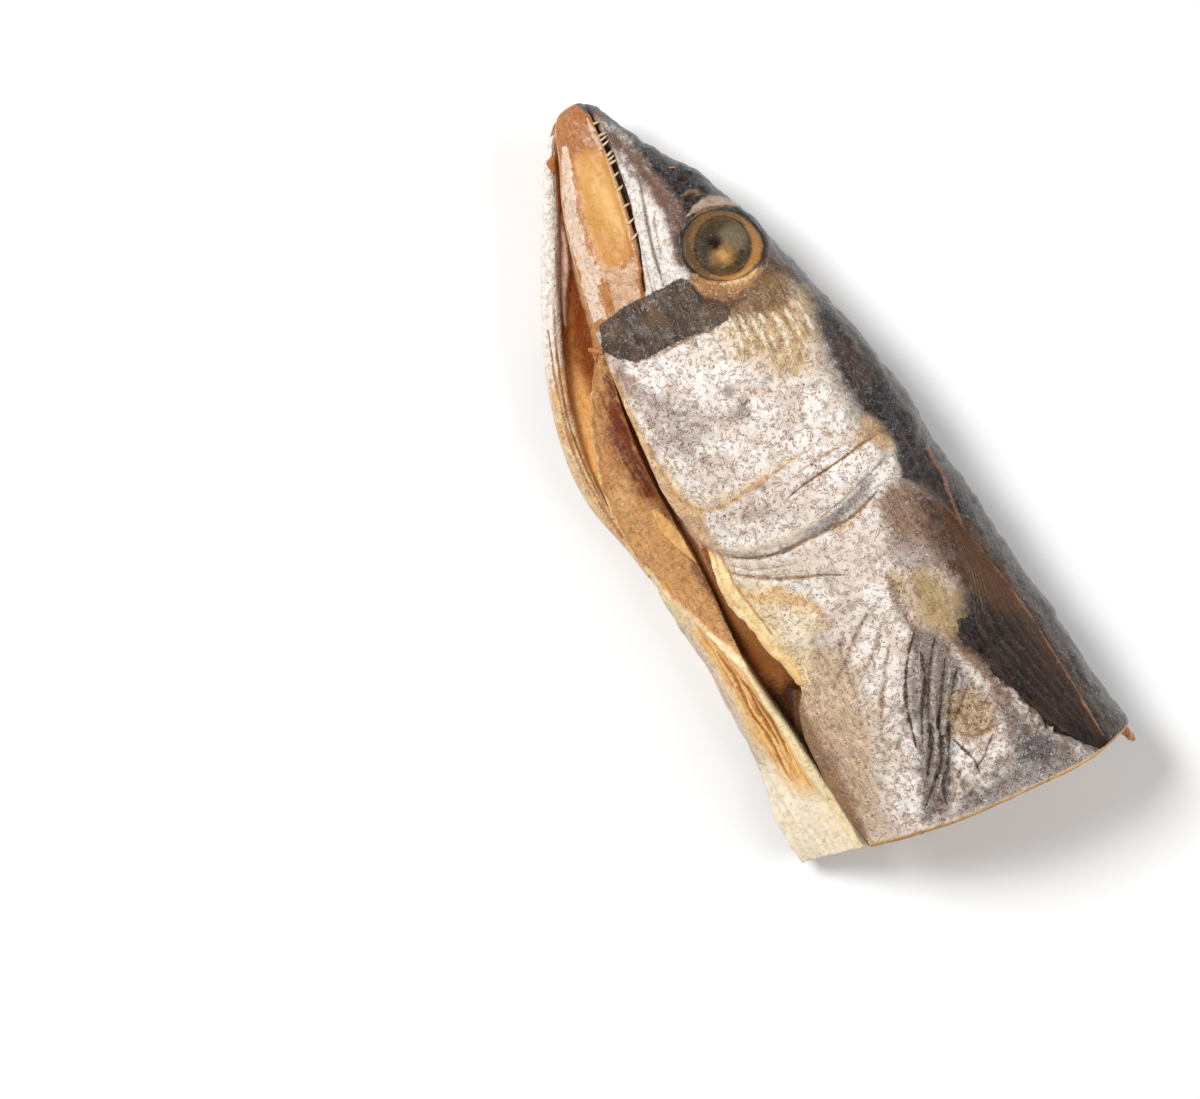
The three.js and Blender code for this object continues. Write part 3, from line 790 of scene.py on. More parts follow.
@dataclass
class BodySkin:
    """The skin of the whole piece with the recess of the belly slit, as one closed shell."""

    near_columns: int = 48
    back_columns: int = 78
    under_columns: int = 64
    floor_columns: int = 34
    roof_columns: int = 14
    wall_columns: int = 8
    mouth_cluster: tuple[float, ...] = (-0.7, -0.45, -0.36, -0.29, 0, 0.29, 0.36, 0.45, 0.7)
    mouth_spread: float = 1.6
    row_steps: tuple[Point, ...] = ((0, 0.4), (6, 0.6), (52, 0.75), (112, 0.45), (126, 0.7))
    gill_lift: float = 1.5
    snout_dome: float = 1.2
    dome_rows: int = 6
    dome_tip: float = 0.02
    hollow_reach: int = 4
    hollow_depth: float = 0.5
    wall_bulge: float = 1.2
    near_roll: float = 0.35
    far_roll: float = 0.3
    swells: Bumps = Bumps(0.55, 26, 17)
    dents: Bumps = Bumps(0.32, 6.5, 5, (3, 8))
    ridges: Bumps = Bumps(0.2, 14, 1.7, (40, 0))
    crumpling: Bumps = Bumps(0.28, 2.6, 2.6, (9, 0), 3)
    net: Bumps = Bumps(1.8, 2.9, 3.9)

    gill_outline: tuple[Point, ...] = (
        (60, -40), (97, -40), (110, -31), (117.5, -24.6), (120.6, -19), (122.2, -8), (121.9, 1), (121, 7),
        (118, 14), (115.5, 20), (112, 30), (60, 30))

    belly_marks: tuple[Mark, ...] = (
        patch("flank_beige", (184, 146, 104), ((146, -20), (154, -30), (175, -36), (197, -35), (196, -27),
            (186, -21.5), (174, -17), (162, -14), (152, -14)), soft=5, ragged=2.4, strength=0.8, calm=0.35,
            streak=(214, 190, 160)),
        # painted shade along the flank's edge at the belly slit
        stroke("slit_edge_shade", (138, 94, 54), (2, 5, 7, 6, 2), ((155.6, -28.5), (163, -30.5), (174, -32),
            (186, -32.5), (196, -32)), soft=2.2, ragged=1.1, strength=0.85, calm=0.4),
        patch("cover_beige", (196, 150, 102), ((63, -27), (72, -28), (84, -28.6), (96, -28.2), (103, -25.4),
            (110, -26), (116.4, -24.6), (119, -25.4), (113, -30.6), (104, -34), (90, -34.6), (75, -32.4)),
            soft=0.9, ragged=0.5, strength=0.9, calm=0.5, streak=(216, 182, 142)),
        oval("cover_brown", (148, 110, 88), (66.4, -25.8), (4.8, 2), soft=1.4, ragged=1.6, strength=0.85,
            calm=0.3),
    )

    shoulder_marks: tuple[Mark, ...] = (
        patch("shoulder_pink", (220, 203, 190), ((123, -16), (123, 6), (130, 12), (138, 8), (140, -4),
            (134, -10)), soft=4, ragged=2, strength=0.55, calm=0.35),
        patch("beige_band", (206, 188, 170), ((114, -28.7), (118.1, -28.4), (123.3, -25), (127.2, -19.4),
            (130.6, -12), (127, -10), (122.7, -18.1), (118.9, -22.4)), soft=1, strength=0.85, calm=0.4,
            streak=(222, 208, 192)),
        patch("shoulder_yellow", (236, 206, 152), ((114, -31), (117, -27.8), (122, -26.4), (126, -23.4),
            (129, -19), (132, -16.6), (136, -15), (141, -14.6), (144, -17), (146, -20), (151, -22.5),
            (154.5, -27), (140, -33), (122, -34)), soft=2.2, ragged=2.2, strength=0.8, calm=0.3,
            streak=(247, 228, 190)),
        oval("yellow_fade", (240, 226, 202), (140, -20.4), (6, 2.6), soft=2.5, ragged=1.5, strength=0.85),
        patch("orange_tongue", (218, 164, 94), ((121, -29), (124, -26.4), (128.4, -24.6), (129.6, -19.4),
            (132, -16.8), (134.4, -15.6), (135.4, -13.4), (139.1, -12.9), (143.6, -12.9), (139.4, -14.4),
            (136.6, -16.6), (133, -20), (130.4, -24.6), (127, -28.6)), soft=1.6, ragged=1.8, strength=0.65,
            calm=0.4),
        stroke("shoulder_glow", (248, 221, 162), (1, 3, 3.4, 3, 1.4), ((115.5, -28.4), (124, -28.9),
            (134, -27.9), (145, -27), (153, -25.4)), soft=1.2, ragged=0.8, calm=0.6),
        stroke("rim_shadow", (206, 146, 78), (0.3, 0.7, 0.8, 0.7, 0.3), ((114.4, -27.2), (119, -27.4),
            (125, -27.6), (132, -26.6), (140, -26)), soft=0.35, ragged=0.3, strength=0.85, relief=-0.4,
            edge=1),
        stroke("shoulder_fold", (158, 128, 100), (0.4, 0.7, 0.8, 0.8, 0.6, 0.2), ((120.9, -26.8),
            (124.7, -22.5), (127.8, -17.8), (130.3, -12.8), (132.6, -7.7), (135.4, -2.8)), soft=0.3,
            ragged=0.2, relief=-0.5, edge=1.4),
        stroke("shoulder_line_1", (190, 166, 142), (0.2, 0.45, 0.2), ((120, -27.6), (124, -23.8),
            (127.6, -15.6)), soft=0.25, ragged=0.2, relief=-0.2, edge=0.8),
        stroke("shoulder_line_2", (186, 160, 136), (0.2, 0.4, 0.2), ((118.6, -26.6), (123, -21.6),
            (126.4, -13)), soft=0.25, ragged=0.2, relief=-0.2, edge=0.8),
    )

    back_marks: tuple[Mark, ...] = (
        stroke("back_soft", (156, 138, 124), (2, 4, 4, 4, 4, 2), ((66, 20.6), (74, 21.2), (84, 19.8),
            (96, 19.2), (106, 20.2), (116, 21.8)), soft=2.2, ragged=2, strength=0.8, calm=0.3),
        patch("back_dark", (44, 38, 37), ((-6, 0.9), (6, 2.4), (13, 5.2), (20, 6), (27, 5.6), (34, 6.6),
            (38, 4.6), (42, 1.2), (46, 0.6), (52, 1), (58, 3), (62, 10), (64, 21), (72, 22.6), (82, 21),
            (96, 20.4), (106, 21.2), (114, 22.6), (124, 21.6), (132, 25), (170, 31), (208, 31), (210, 70),
            (-6, 70)), soft=1.7, ragged=1.1, gloss=0.3, calm=0.6, streak=(22, 20, 20)),
        patch("back_grey", (84, 75, 72), ((52, 23.6), (80, 28.4), (100, 31), (112, 30.4), (126, 31.6),
            (160, 32.6), (208, 33.6), (212, 70), (52, 70)), soft=1.5, ragged=1.3, strength=0.9, gloss=0.28,
            calm=0.5, streak=(38, 33, 32)),
        patch("back_brown", (72, 52, 42), ((84, 22.5), (83, 26.5), (90, 28), (97, 27), (98, 24), (92, 22.5)),
            soft=1.5, ragged=1.2, strength=0.8),
    )

    jaw_marks: tuple[Mark, ...] = (
        patch("lip_grey", (122, 110, 102), ((3, 0.6), (9, 0.7), (14, 0), (20, -1.2), (25, -2.2), (27, 1),
            (21, 2.2), (14, 1.9), (8, 1.8)), soft=1.4, ragged=1.4, strength=0.9, calm=0.3),
        patch("snout_brown", (100, 70, 55), ((9, 1.4), (13, 1.4), (18, 1.9), (24, 2.2), (30, 2.6), (36, 2.4),
            (42, 1.2), (47, -1), (48.5, 1.5), (44, 3.2), (40, 6.4), (36, 8), (30, 7.2), (24, 5.8), (18, 5.4),
            (12, 3.6)), soft=1.4, ragged=1.2, strength=0.95, calm=0.6, gloss=0.36, streak=(126, 96, 78)),
        patch("upper_jaw", (226, 218, 209), ((16, -0.3), (20, -1.1), (24, -2), (32, -4.2), (40, -6.8),
            (51, -11.8), (51, -1.2), (47, -0.8), (42, 0.8), (36, 2.2), (30, 2.2), (26, 1.6), (22, 0.8),
            (18, 0.3)), soft=0.8, ragged=0.7, calm=0.3),
        stroke("jaw_groove", (138, 122, 112), (0.3, 0.7, 0.7, 0.5), ((24, 2.4), (31, -0.4), (40, -3.6),
            (51, -6.2)), soft=0.35, ragged=0.2, relief=-0.6, edge=1),
        stroke("jaw_groove_low", (170, 152, 138), (0.2, 0.5, 0.4), ((36, -5), (44, -7.4), (51, -9.2)),
            soft=0.35, ragged=0.3, relief=-0.3, edge=0.8),
        stroke("jaw_groove_high", (176, 160, 146), (0.2, 0.5, 0.5, 0.2), ((33, 1.6), (35.6, -0.2), (38, -1),
            (44, -3)), soft=0.3, ragged=0.3, relief=-0.3, edge=0.8),
        patch("jaw_orange", (188, 126, 68), ((-6, -12), (-6, 0.2), (6, 0.2), (13, -0.6), (20, -2),
            (30, -4.4), (40, -7.4), (51, -12), (51, -30), (40, -27), (20, -21), (8, -16)), soft=0.4,
            ragged=0.3, calm=0.7, streak=(166, 102, 50)),
        patch("jaw_tip", (186, 122, 70), ((-6, -12), (-6, 0), (4, 0.2), (9, -1.5), (10.5, -6), (9, -10),
            (4, -13)), soft=2, ragged=1.4, calm=0.7, gloss=0.36, streak=(160, 96, 52)),
        stroke("tip_white", (230, 204, 184), (0.4, 1.4, 2, 1.2), ((3.6, -1.2), (6.4, -1.6), (9.4, -2),
            (13, -2.4)), ragged=1.3, strength=0.75),
        patch("jaw_amber", (206, 148, 70), ((10.5, -8), (13, -2.8), (18.5, -3.4), (22.5, -4.2), (28.5, -5.6),
            (33.5, -7), (38, -9), (40, -12), (40, -17), (34.5, -16.4), (30, -15.7), (25, -14.4), (20, -12.6),
            (16, -11.4)), soft=0.9, relief=-0.5, edge=3, gloss=0.48, calm=0.97, streak=(194, 132, 58)),
        oval("amber_light", (218, 164, 86), (24, -8.4), (10, 2.8), soft=2.6, ragged=0.8, calm=0.97),
        stroke("jaw_white", (230, 208, 188), (1.2, 2.4, 3.4, 3.2, 4, 4.4, 4, 3.4), ((7, -9.6), (13.5, -12.6),
            (20, -15.6), (26, -17.8), (32, -19), (37.5, -20), (43.5, -22.2), (50, -23.8)), soft=0.35,
            ragged=1.4, relief=0.3, calm=0.6, streak=(216, 178, 144)),
        patch("jaw_scratched", (214, 178, 146), ((40.5, -16), (42, -9.4), (50.5, -12.4), (50.5, -19.6),
            (46, -18)), soft=0.5, ragged=3.4, strength=0.7, calm=0.5),
        stroke("lip_tan", (206, 164, 112), (0.5, 0.9, 1, 0.5), ((13, -1.6), (20, -3.2), (29, -5.4),
            (37, -7.8)), soft=0.3, ragged=0.3, relief=0.3, edge=0.8),
        patch("tip_plate", (84, 82, 85), ((-5, -1.6), (0.5, -1.4), (3.6, 0), (3, 1.6), (-5, 3)), soft=0.5,
            ragged=0.5, calm=0.8),
        # painted shade: near black inside the sunk mouth gap
        stroke("mouth_gap_shade", (18, 11, 8), (0.4, 0.9, 1.3, 1.7, 1.5, 1.3, 0.9, 0.6, 0.6, 0.8), ((1.6, 0.4),
            (4, 0.45), (8, 0.25), (13, -0.35), (23, -2.45), (28, -3.65), (32, -4.75), (37, -6.15),
            (45, -9.2), (49.6, -11.5)), soft=0.15, ragged=0.15, relief=-3.0, edge=0.4, gloss=0.8, calm=1.0),
    )

    orbit_marks: tuple[Mark, ...] = (
        # dark skin round the eye, partly painted shade in the orbit
        patch("orbit_dark_and_shade", (56, 46, 38), EYE.arc(11.4, 10.2, 0, 330, 12), soft=1.2, ragged=1.1, calm=0.6),
        stroke("orbit_pale", (186, 162, 142), (0.6, 2.4, 2.8, 1.2), EYE.arc(11.8, 11.4, -142, -68, 4),
            ragged=0.8, relief=0.4, edge=1.4, calm=0.6, streak=(150, 122, 100)),
        stroke("orbit_rim", None, 2.2, EYE.arc(10.6, 9.5), relief=0.9, edge=2),
        patch("socket", None, EYE.arc(9.7, 8.6, 0, 330, 12), relief=-2.4, edge=0.9),
        stroke("lid_brown", (90, 58, 36), (1, 3, 4, 3, 1), EYE.arc(12.4, 12.8, -10, 66, 5), soft=1.4,
            ragged=1.1, strength=0.9, calm=0.5),
        # painted shade: near-black insides of the sunk nostrils
        oval("nostril_front_shade", (8, 6, 5), (29, 12.4), (0.9, 1.7), soft=0.3, ragged=0.3, relief=-1.8, edge=1,
            gloss=0.9, calm=1.0),
        oval("nostril_rear_shade", (9, 6, 5), (34.6, 11), (0.8, 1.4), soft=0.3, ragged=0.3, relief=-1.5, edge=1,
            gloss=0.9, calm=1.0),
        stroke("nostril_rim", (132, 98, 68), 0.6, ((33.4, 9.4), (33, 11), (33.8, 12.8), (35.6, 13)),
            soft=0.3, ragged=0.3, relief=0.3, edge=0.7),
        patch("golden", (210, 180, 134), ((66, 2), (69, 21.4), (77, 20.6), (85, 15.4), (87, 10.6), (82, 6.4),
            (74, 1)), soft=4.5, ragged=3, strength=0.9, calm=0.3, streak=(176, 142, 92)),
        patch("olive", (138, 104, 58), ((59.5, 3), (61, 20.6), (66, 22), (69.6, 18), (69.6, 11), (66.6, 4)),
            soft=2.2, ragged=1.6, strength=0.92, calm=0.5, streak=(112, 78, 40)),
        *strokes("golden_ridge", (246, 235, 214), (0.3, 0.9, 0.3), (((67, 0.8), (71.8, 0.8), (75, 0.2)),
            ((66.4, 4), (71.2, 3.6), (74.8, 2.8)), ((66, 6.4), (71.4, 6), (76.6, 5.2)), ((67, 8.4),
            (73, 8.7), (80.6, 7)), ((67.8, 11), (73.4, 10.6), (78.4, 10)), ((69.4, 13.6), (76, 13.6),
            (83.2, 11.4)), ((70, 16.8), (74.8, 17), (78.6, 16.4)), ((70, 20.2), (75, 20.4), (79, 20.4))),
            soft=0.5, ragged=1.1, strength=0.75, relief=0.35, edge=1.3),
        *strokes("golden_gap", (146, 110, 66), (0.2, 0.6, 0.2), (((68, 2.4), (73, 2.2), (76, 1.6)),
            ((68, 5.2), (73, 4.8), (77, 4)), ((69, 7.4), (74, 7.4), (79, 6.4)), ((69, 9.8), (75, 9.6),
            (81, 8.6)), ((70, 12.4), (75, 12.2), (80, 11.4)), ((71, 15.2), (76, 15.4), (81, 14.4)),
            ((71, 18.6), (76, 18.8), (80, 18.2))), soft=0.45, ragged=1, strength=0.6),
        patch("dark_patch", (66, 51, 39), ((53.7, -25.5), (51, -23.4), (50.3, -19.3), (50.5, -11.6),
            (51, -7), (50.8, -2.8), (51.6, -0.6), (57.2, 2.6), (62, 5), (65.8, 3.4), (66.4, -1.6),
            (65.2, -4.6), (64.6, -9.9), (64.2, -19.9), (62.8, -22.2), (59.9, -25.2), (55.8, -26.8)),
            soft=0.3, ragged=0.75, gloss=0.55, relief=0.35, edge=0.5, calm=0.4, streak=(94, 75, 58)),
        oval("patch_brown_1", (104, 78, 50), (56, -12), (2.6, 3), soft=1.4, ragged=1.6, strength=0.7),
        oval("patch_brown_2", (100, 74, 46), (62, -1), (2.4, 2.6), soft=1.2, ragged=1.4, strength=0.7),
        oval("patch_brown_3", (110, 80, 54), (54, -22), (1.6, 2), soft=1.2, ragged=1.4, strength=0.6),
        stroke("patch_edge", (150, 104, 54), (0.3, 0.8, 0.6, 0.3), ((63.4, -22), (64.6, -16), (65.2, -7),
            (66.4, 0)), soft=0.3, ragged=0.4, strength=0.7),
        stroke("lid_line", (38, 28, 22), (0.6, 1.6, 1.6, 0.6), EYE.arc(13.4, 14.6, 62, 128, 4), strength=0.9,
            relief=-0.4, edge=1.2, calm=0.6),
        stroke("lid", (170, 124, 74), (0.8, 3, 5, 5.2, 3.6, 1.4), EYE.arc(10.8, 11.6, 28, 140, 6), soft=0.9,
            ragged=1.1, relief=0.7, edge=1.8, calm=0.3),
        stroke("lid_shade", (124, 86, 50), (0.6, 2, 2.4, 1), EYE.arc(12.4, 13.2, 40, 112, 4), soft=1,
            ragged=1.2, strength=0.7),
        stroke("lid_light", (222, 182, 130), (0.3, 1.4, 1.8, 0.5), EYE.arc(9.9, 10, 30, 96, 4), soft=0.8,
            ragged=1),
        stroke("orbit_brown", (112, 84, 52), (0.4, 1.8, 1.8, 0.4), EYE.arc(10.3, 9.3, -165, -80, 4),
            calm=0.6),
        stroke("eye_line", (34, 27, 23), (0.8, 0.2, 0.1, 0.1, 2, 0.5, 0.5, 1.4, 0.8),
            EYE.arc(10.4, 9.2, 0, 360, 9), ragged=0.7, relief=-0.3, edge=0.9, calm=0.8),
    )

    cover_marks: tuple[Mark, ...] = (
        patch("cheek_grey", (178, 160, 152), ((69.6, -23.7), (75.5, -16.8), (81.9, -10.2), (86, -12),
            (90, -18), (88, -24), (80.5, -26.2)), soft=2.2, ragged=2.8, strength=0.75),
        patch("cheek_warm", (210, 192, 176), ((88, -25), (98, -24), (116, -14), (119, 0), (112, -4),
            (100, -13)), soft=5, ragged=2.4, strength=0.6),
        oval("cheek_smudge", (140, 122, 108), (87.6, -4), (2.8, 1.8), soft=1, ragged=1.6, strength=0.85),
        oval("cheek_smudge_front", (146, 128, 114), (82, -4.8), (1.7, 1.6), soft=0.9, ragged=1.2,
            strength=0.8),
        stroke("cheek_streak", (164, 142, 126), (0.6, 1.6, 0.5), ((77, -20.5), (80, -18.6), (81.6, -15.6)),
            soft=0.5, ragged=0.8, strength=0.8),
        stroke("cheek_streak_low", (168, 146, 130), (0.5, 1.4, 1, 0.4), ((89, -17), (91.6, -17.4),
            (93.6, -18.6), (97, -15)), soft=0.5, ragged=0.9, strength=0.75),
        patch("cheek_smudge_rear", (172, 152, 138), ((108.8, -15.3), (109.6, -10.6), (113.3, -10.8),
            (112.3, -14.7), (110.1, -18.6)), soft=1.6, ragged=1.8, strength=0.75),
        stroke("cover_band", (226, 202, 168), (0.8, 2, 2.2, 2, 1.4, 0.6), ((88, -27.4), (97, -27),
            (101.6, -24.4), (103.6, -17), (103.4, -8), (103, 2)), soft=0.9, strength=0.75, calm=0.3),
        stroke("cover_line", (214, 172, 114), (0.5, 0.9, 1.1, 1.2, 1.3, 1.4, 1.2, 1, 0.9, 0.8, 0.5, 0.2),
            ((67, -28.1), (72.8, -28.2), (79.6, -28.9), (88.6, -28.9), (96.4, -28.9), (101.5, -27.3),
            (104.5, -23.2), (105.4, -17.8), (104.8, -11), (104.6, -5.7), (104.1, -0.9), (104, 5.6)),
            soft=0.5, ragged=0.5, strength=0.85, relief=-0.35, edge=1.6, calm=0.4),
        stroke("cover_crease", (152, 112, 72), (0.2, 0.55, 0.6, 0.7, 1, 1.7), ((111.8, -6.7), (110.7, -0.8),
            (110.3, 5.2), (109.7, 12.1), (108.8, 18.4), (108.5, 22.4)), soft=0.4, ragged=0.3, relief=-0.7,
            edge=1.3),
        patch("crease_tan", (204, 164, 112), ((103.7, 20.7), (107.6, 23), (113.9, 23.9), (114.2, 21.1),
            (109.3, 18.1), (108.6, 14.6)), soft=1.8, ragged=1.4, strength=0.75, calm=0.3),
        stroke("cover_wrinkle", (186, 158, 128), (0.2, 0.5, 0.2), ((107.4, -1), (107, 7), (107.2, 15)),
            soft=0.4, ragged=0.5, relief=-0.3, edge=0.8),
        # painted highlight along the rounded lower margin of the gill cover
        stroke("margin_highlight", (222, 204, 184), (1, 2.2, 2.6, 2.4, 2, 1), ((112, -28), (116, -24.6),
            (118.8, -18.6), (120.2, -11), (120.4, -4), (119.6, 3)), soft=0.9, ragged=0.5, strength=0.85,
            calm=0.6),
        # painted grey shade under the overlap of the gill cover's rear margin
        patch("margin_shade", (152, 146, 144), ((121.6, -6), (120.6, 0.4), (119, 7.4), (117, 13.6),
            (118.6, 14.4), (121.4, 9), (122.9, 3), (123.2, -2)), soft=1.3, ragged=0.8, strength=0.75,
            calm=0.5, streak=(118, 110, 108)),
        stroke("margin_fold", (158, 138, 122), (0.2, 0.5, 0.5, 0.3), ((120, -2), (118.6, 6), (116.8, 13),
            (115.4, 19)), soft=0.35, ragged=0.3, relief=-0.45, edge=0.9),
        stroke("margin_shadow", (134, 98, 64), (0.3, 0.7, 1, 1, 1.1, 1, 0.8, 0.3), ((117.4, -25.2),
            (120.6, -20), (122.4, -14), (122.9, -7), (123.2, -0.6), (123.6, 4.6), (122.6, 9.2), (120.8, 15)),
            soft=0.5, ragged=0.3, strength=0.9, relief=-0.5, edge=1.2),
        stroke("margin_tan", (200, 160, 108), (0.3, 1, 0.4), ((124.2, -1), (124.8, 3.4), (124, 8)), soft=0.5,
            ragged=0.5, strength=0.8),
    )

    fin_marks: tuple[Mark, ...] = (
        patch("shoulder_brown", (150, 122, 100), ((123, 13), (122, 20), (126, 24.6), (134, 27), (142, 29),
            (150, 24), (146, 17), (140, 14), (132, 11.6)), soft=2.6, ragged=1.8, calm=0.2,
            streak=(126, 98, 78)),
        patch("lilac", (164, 147, 136), ((134, 8), (136, 15), (142, 19), (146, 14.6), (142, 9.6)), soft=2,
            ragged=1.5, strength=0.85),
        patch("fin_root", (88, 58, 38), ((125, 23), (132, 21), (140, 19.8), (148, 19.4), (154, 17),
            (159, 13), (162, 10.6), (166, 12.6), (172, 15.2), (180, 18), (190, 21.6), (200, 26), (207, 33),
            (180, 34), (150, 32), (136, 28.6)), soft=2.6, ragged=1.6, calm=0.75, streak=(56, 38, 27)),
        # dark skin under the fin, with painted shadow along the fin's lower edge
        patch("fin_bed_shadow", (40, 31, 27), ((155, 15), (161, 10.6), (165, 12.8), (169, 15), (175.4, 15.6),
            (178.4, 18), (186.5, 20.6), (192, 21.8), (198.3, 25.4), (204, 30.4), (207, 34), (180, 33),
            (162, 30), (156, 22)), soft=2.4, ragged=1.8, calm=0.75, streak=(22, 17, 15)),
        oval("olive_patch", (184, 156, 112), (152.4, 12), (9, 5.4), soft=4, ragged=2, calm=0.5,
            streak=(158, 130, 86)),
        stroke("olive_tail", (192, 168, 128), (2, 3.4, 2), ((139.6, 7), (144, 7.4), (149, 8)), soft=1.6,
            ragged=1.2),
        stroke("root_brown", (140, 112, 92), (0.8, 2, 2.4, 2.4, 1.4), ((139.2, 5.9), (145.2, 4.9),
            (150.9, 4.6), (156.6, 4.6), (161, 1.6)), soft=1.2, ragged=1.2, strength=0.85),
        patch("fin_pocket", (40, 33, 31), ((121, 21.6), (124, 24), (131, 26), (138, 28), (141.6, 28.9),
            (138, 29.8), (128, 30), (119, 30.6), (117, 26)), soft=1, ragged=0.9, relief=-0.7, edge=1.5,
            calm=0.8),
        stroke("pocket_line", (132, 96, 70), 0.7, ((117.4, 31), (126, 30.6), (134, 29.4), (140, 28.6)),
            soft=0.35, ragged=0.3, relief=0.3, edge=0.8),
        patch("rear_brown", (120, 92, 70), ((178, 12), (179, 17), (191.3, 20.9), (200, 24.6), (203, 21),
            (196, 16), (188, 12)), soft=2.6, ragged=2.4, strength=0.8, gloss=0.26),
        patch("rear_dark", (128, 119, 115), ((184, 12.6), (191.3, 19), (200.1, 24.8), (205, 28), (206, 20),
            (204.5, 8.1), (203.5, 0.2), (202, -7.3), (197, -6.7), (196, 6.1), (191, 11)), soft=3.4, ragged=3,
            strength=0.85, gloss=0.22),
        patch("rear_glints", (84, 82, 86), ((191.4, 15.7), (196.4, 21.2), (200.6, 17.1), (196.5, 11.9)),
            soft=1.8, ragged=2.2, strength=0.8, gloss=0.18),
        stroke("fin_arc", (140, 98, 66), (0.6, 1.8, 1.8, 1.6, 0.8), ((161.6, 8), (165.2, 11.6), (170, 14),
            (175.4, 14.8), (180.6, 15.4)), soft=1.5, ragged=1, strength=0.8),
    )

    fold_marks: tuple[Mark, ...] = (
        patch("fold_shade", (112, 98, 90), ((156, 6), (160, 9.5), (168, 10.4), (174, 10), (178, 5),
            (183, 0.4), (190, -4), (198, -9), (198, -17), (190, -13.4), (180, -8.6), (170, -5), (161, -0.4)),
            soft=1.6, ragged=1.6, strength=0.85, gloss=0.3),
        # painted highlight on the raised fold ridges, over their raised relief
        *strokes("fold_ridge", (176, 162, 153), (0.3, 0.8, 0.9, 0.7, 0.3), (((158.4, 5), (164, 0.8),
            (171.6, -3), (180, -6.6), (189.4, -12)), ((162, 7.4), (168.6, 2.4), (174.6, -1), (182.4, -4.6),
            (191, -10.8)), ((166.6, 8.6), (173.4, 3.6), (180, -1), (186.8, -4.2), (194.6, -11.6)),
            ((171, 8.8), (176.6, 4), (183.4, -0.4), (189.4, -4.2), (196.6, -8.4))), soft=0.4, ragged=0.8,
            relief=0.9, edge=1.5, gloss=0.24),
        # painted shade in the fold valleys, over their sunk relief
        *strokes("fold", (58, 46, 40), (0.3, 0.9, 0.7, 1.1, 0.6, 0.3), (((155.6, 4.8), (160.2, 0.2),
            (165, -3.4), (170.6, -6.4), (176, -8.2), (181, -9.4)), ((160, 3.6), (164, 2.4), (168, 0.6),
            (172, -2.6), (176.6, -5.4), (181, -7.6)), ((159.4, 8.2), (167.4, 2), (173.4, -1.9),
            (181.1, -5.5), (186, -8.8), (189.8, -11.6)), ((165.1, 8.1), (172.1, 3), (178.3, -1.8),
            (185, -4.4), (192.2, -11.6), (195.6, -15.6)), ((168.6, 9.4), (174.8, 3.9), (182, -0.8),
            (188, -4.7), (192.4, -8.4), (197.2, -10)), ((173.7, 9.4), (176, 7), (177.9, 4.8), (179.6, 2.6),
            (180.6, 0.8), (182, -1))), soft=0.4, ragged=0.8, relief=-1.2, edge=1.4),
        stroke("crack_1", (84, 68, 58), (0.3, 0.7, 0.6, 0.3), ((183, -0.6), (186.9, 0.5), (190.8, 1.5),
            (194.5, 1)), soft=0.3, ragged=0.35, relief=-0.6, edge=0.9),
        stroke("crack_2", (96, 78, 66), (0.3, 0.6, 0.3), ((187, 9), (190.6, 4.6), (192.4, 1)), soft=0.3,
            ragged=0.35, relief=-0.4, edge=0.8),
        stroke("crack_3", (150, 112, 68), (0.3, 0.8, 0.8, 0.3), ((183.1, 1), (185.6, 5.3), (185.7, 9.4),
            (186.4, 13)), soft=0.35, ragged=0.4, relief=-0.4, edge=0.9),
        patch("golden_spot", (190, 158, 114), ((175, 4), (175.7, 9.4), (181.2, 11.9), (184.9, 9.8),
            (185.5, 3.7), (181.5, 1.1)), soft=2.6, ragged=2.6, strength=0.8, streak=(144, 108, 64),
            gloss=0.28),
        # painted soft shade along shallow creases of the flank
        *strokes("flank_crease_shade", (176, 146, 116), (0.3, 1.2, 1, 0.3), (((147.2, -10.2), (151.4, -14.2),
            (157.3, -15.2), (161.7, -16.1)), ((149.3, -0.8), (153, -4.4), (155.9, -7.8), (160.9, -14.8)),
            ((155, -2), (161, -7), (168, -12), (176, -16)), ((146, -3), (149, -8), (153, -13), (158, -20))),
            relief=-0.6, edge=2, strength=0.75),
        stroke("cut_edge", (214, 172, 116), 1.2, ((194.2, -50), (195.9, -38), (199.4, -22), (201.7, -10),
            (203.7, 10), (205, 27), (203.8, 45)), soft=0.3, ragged=0.15, calm=0.8),
    )

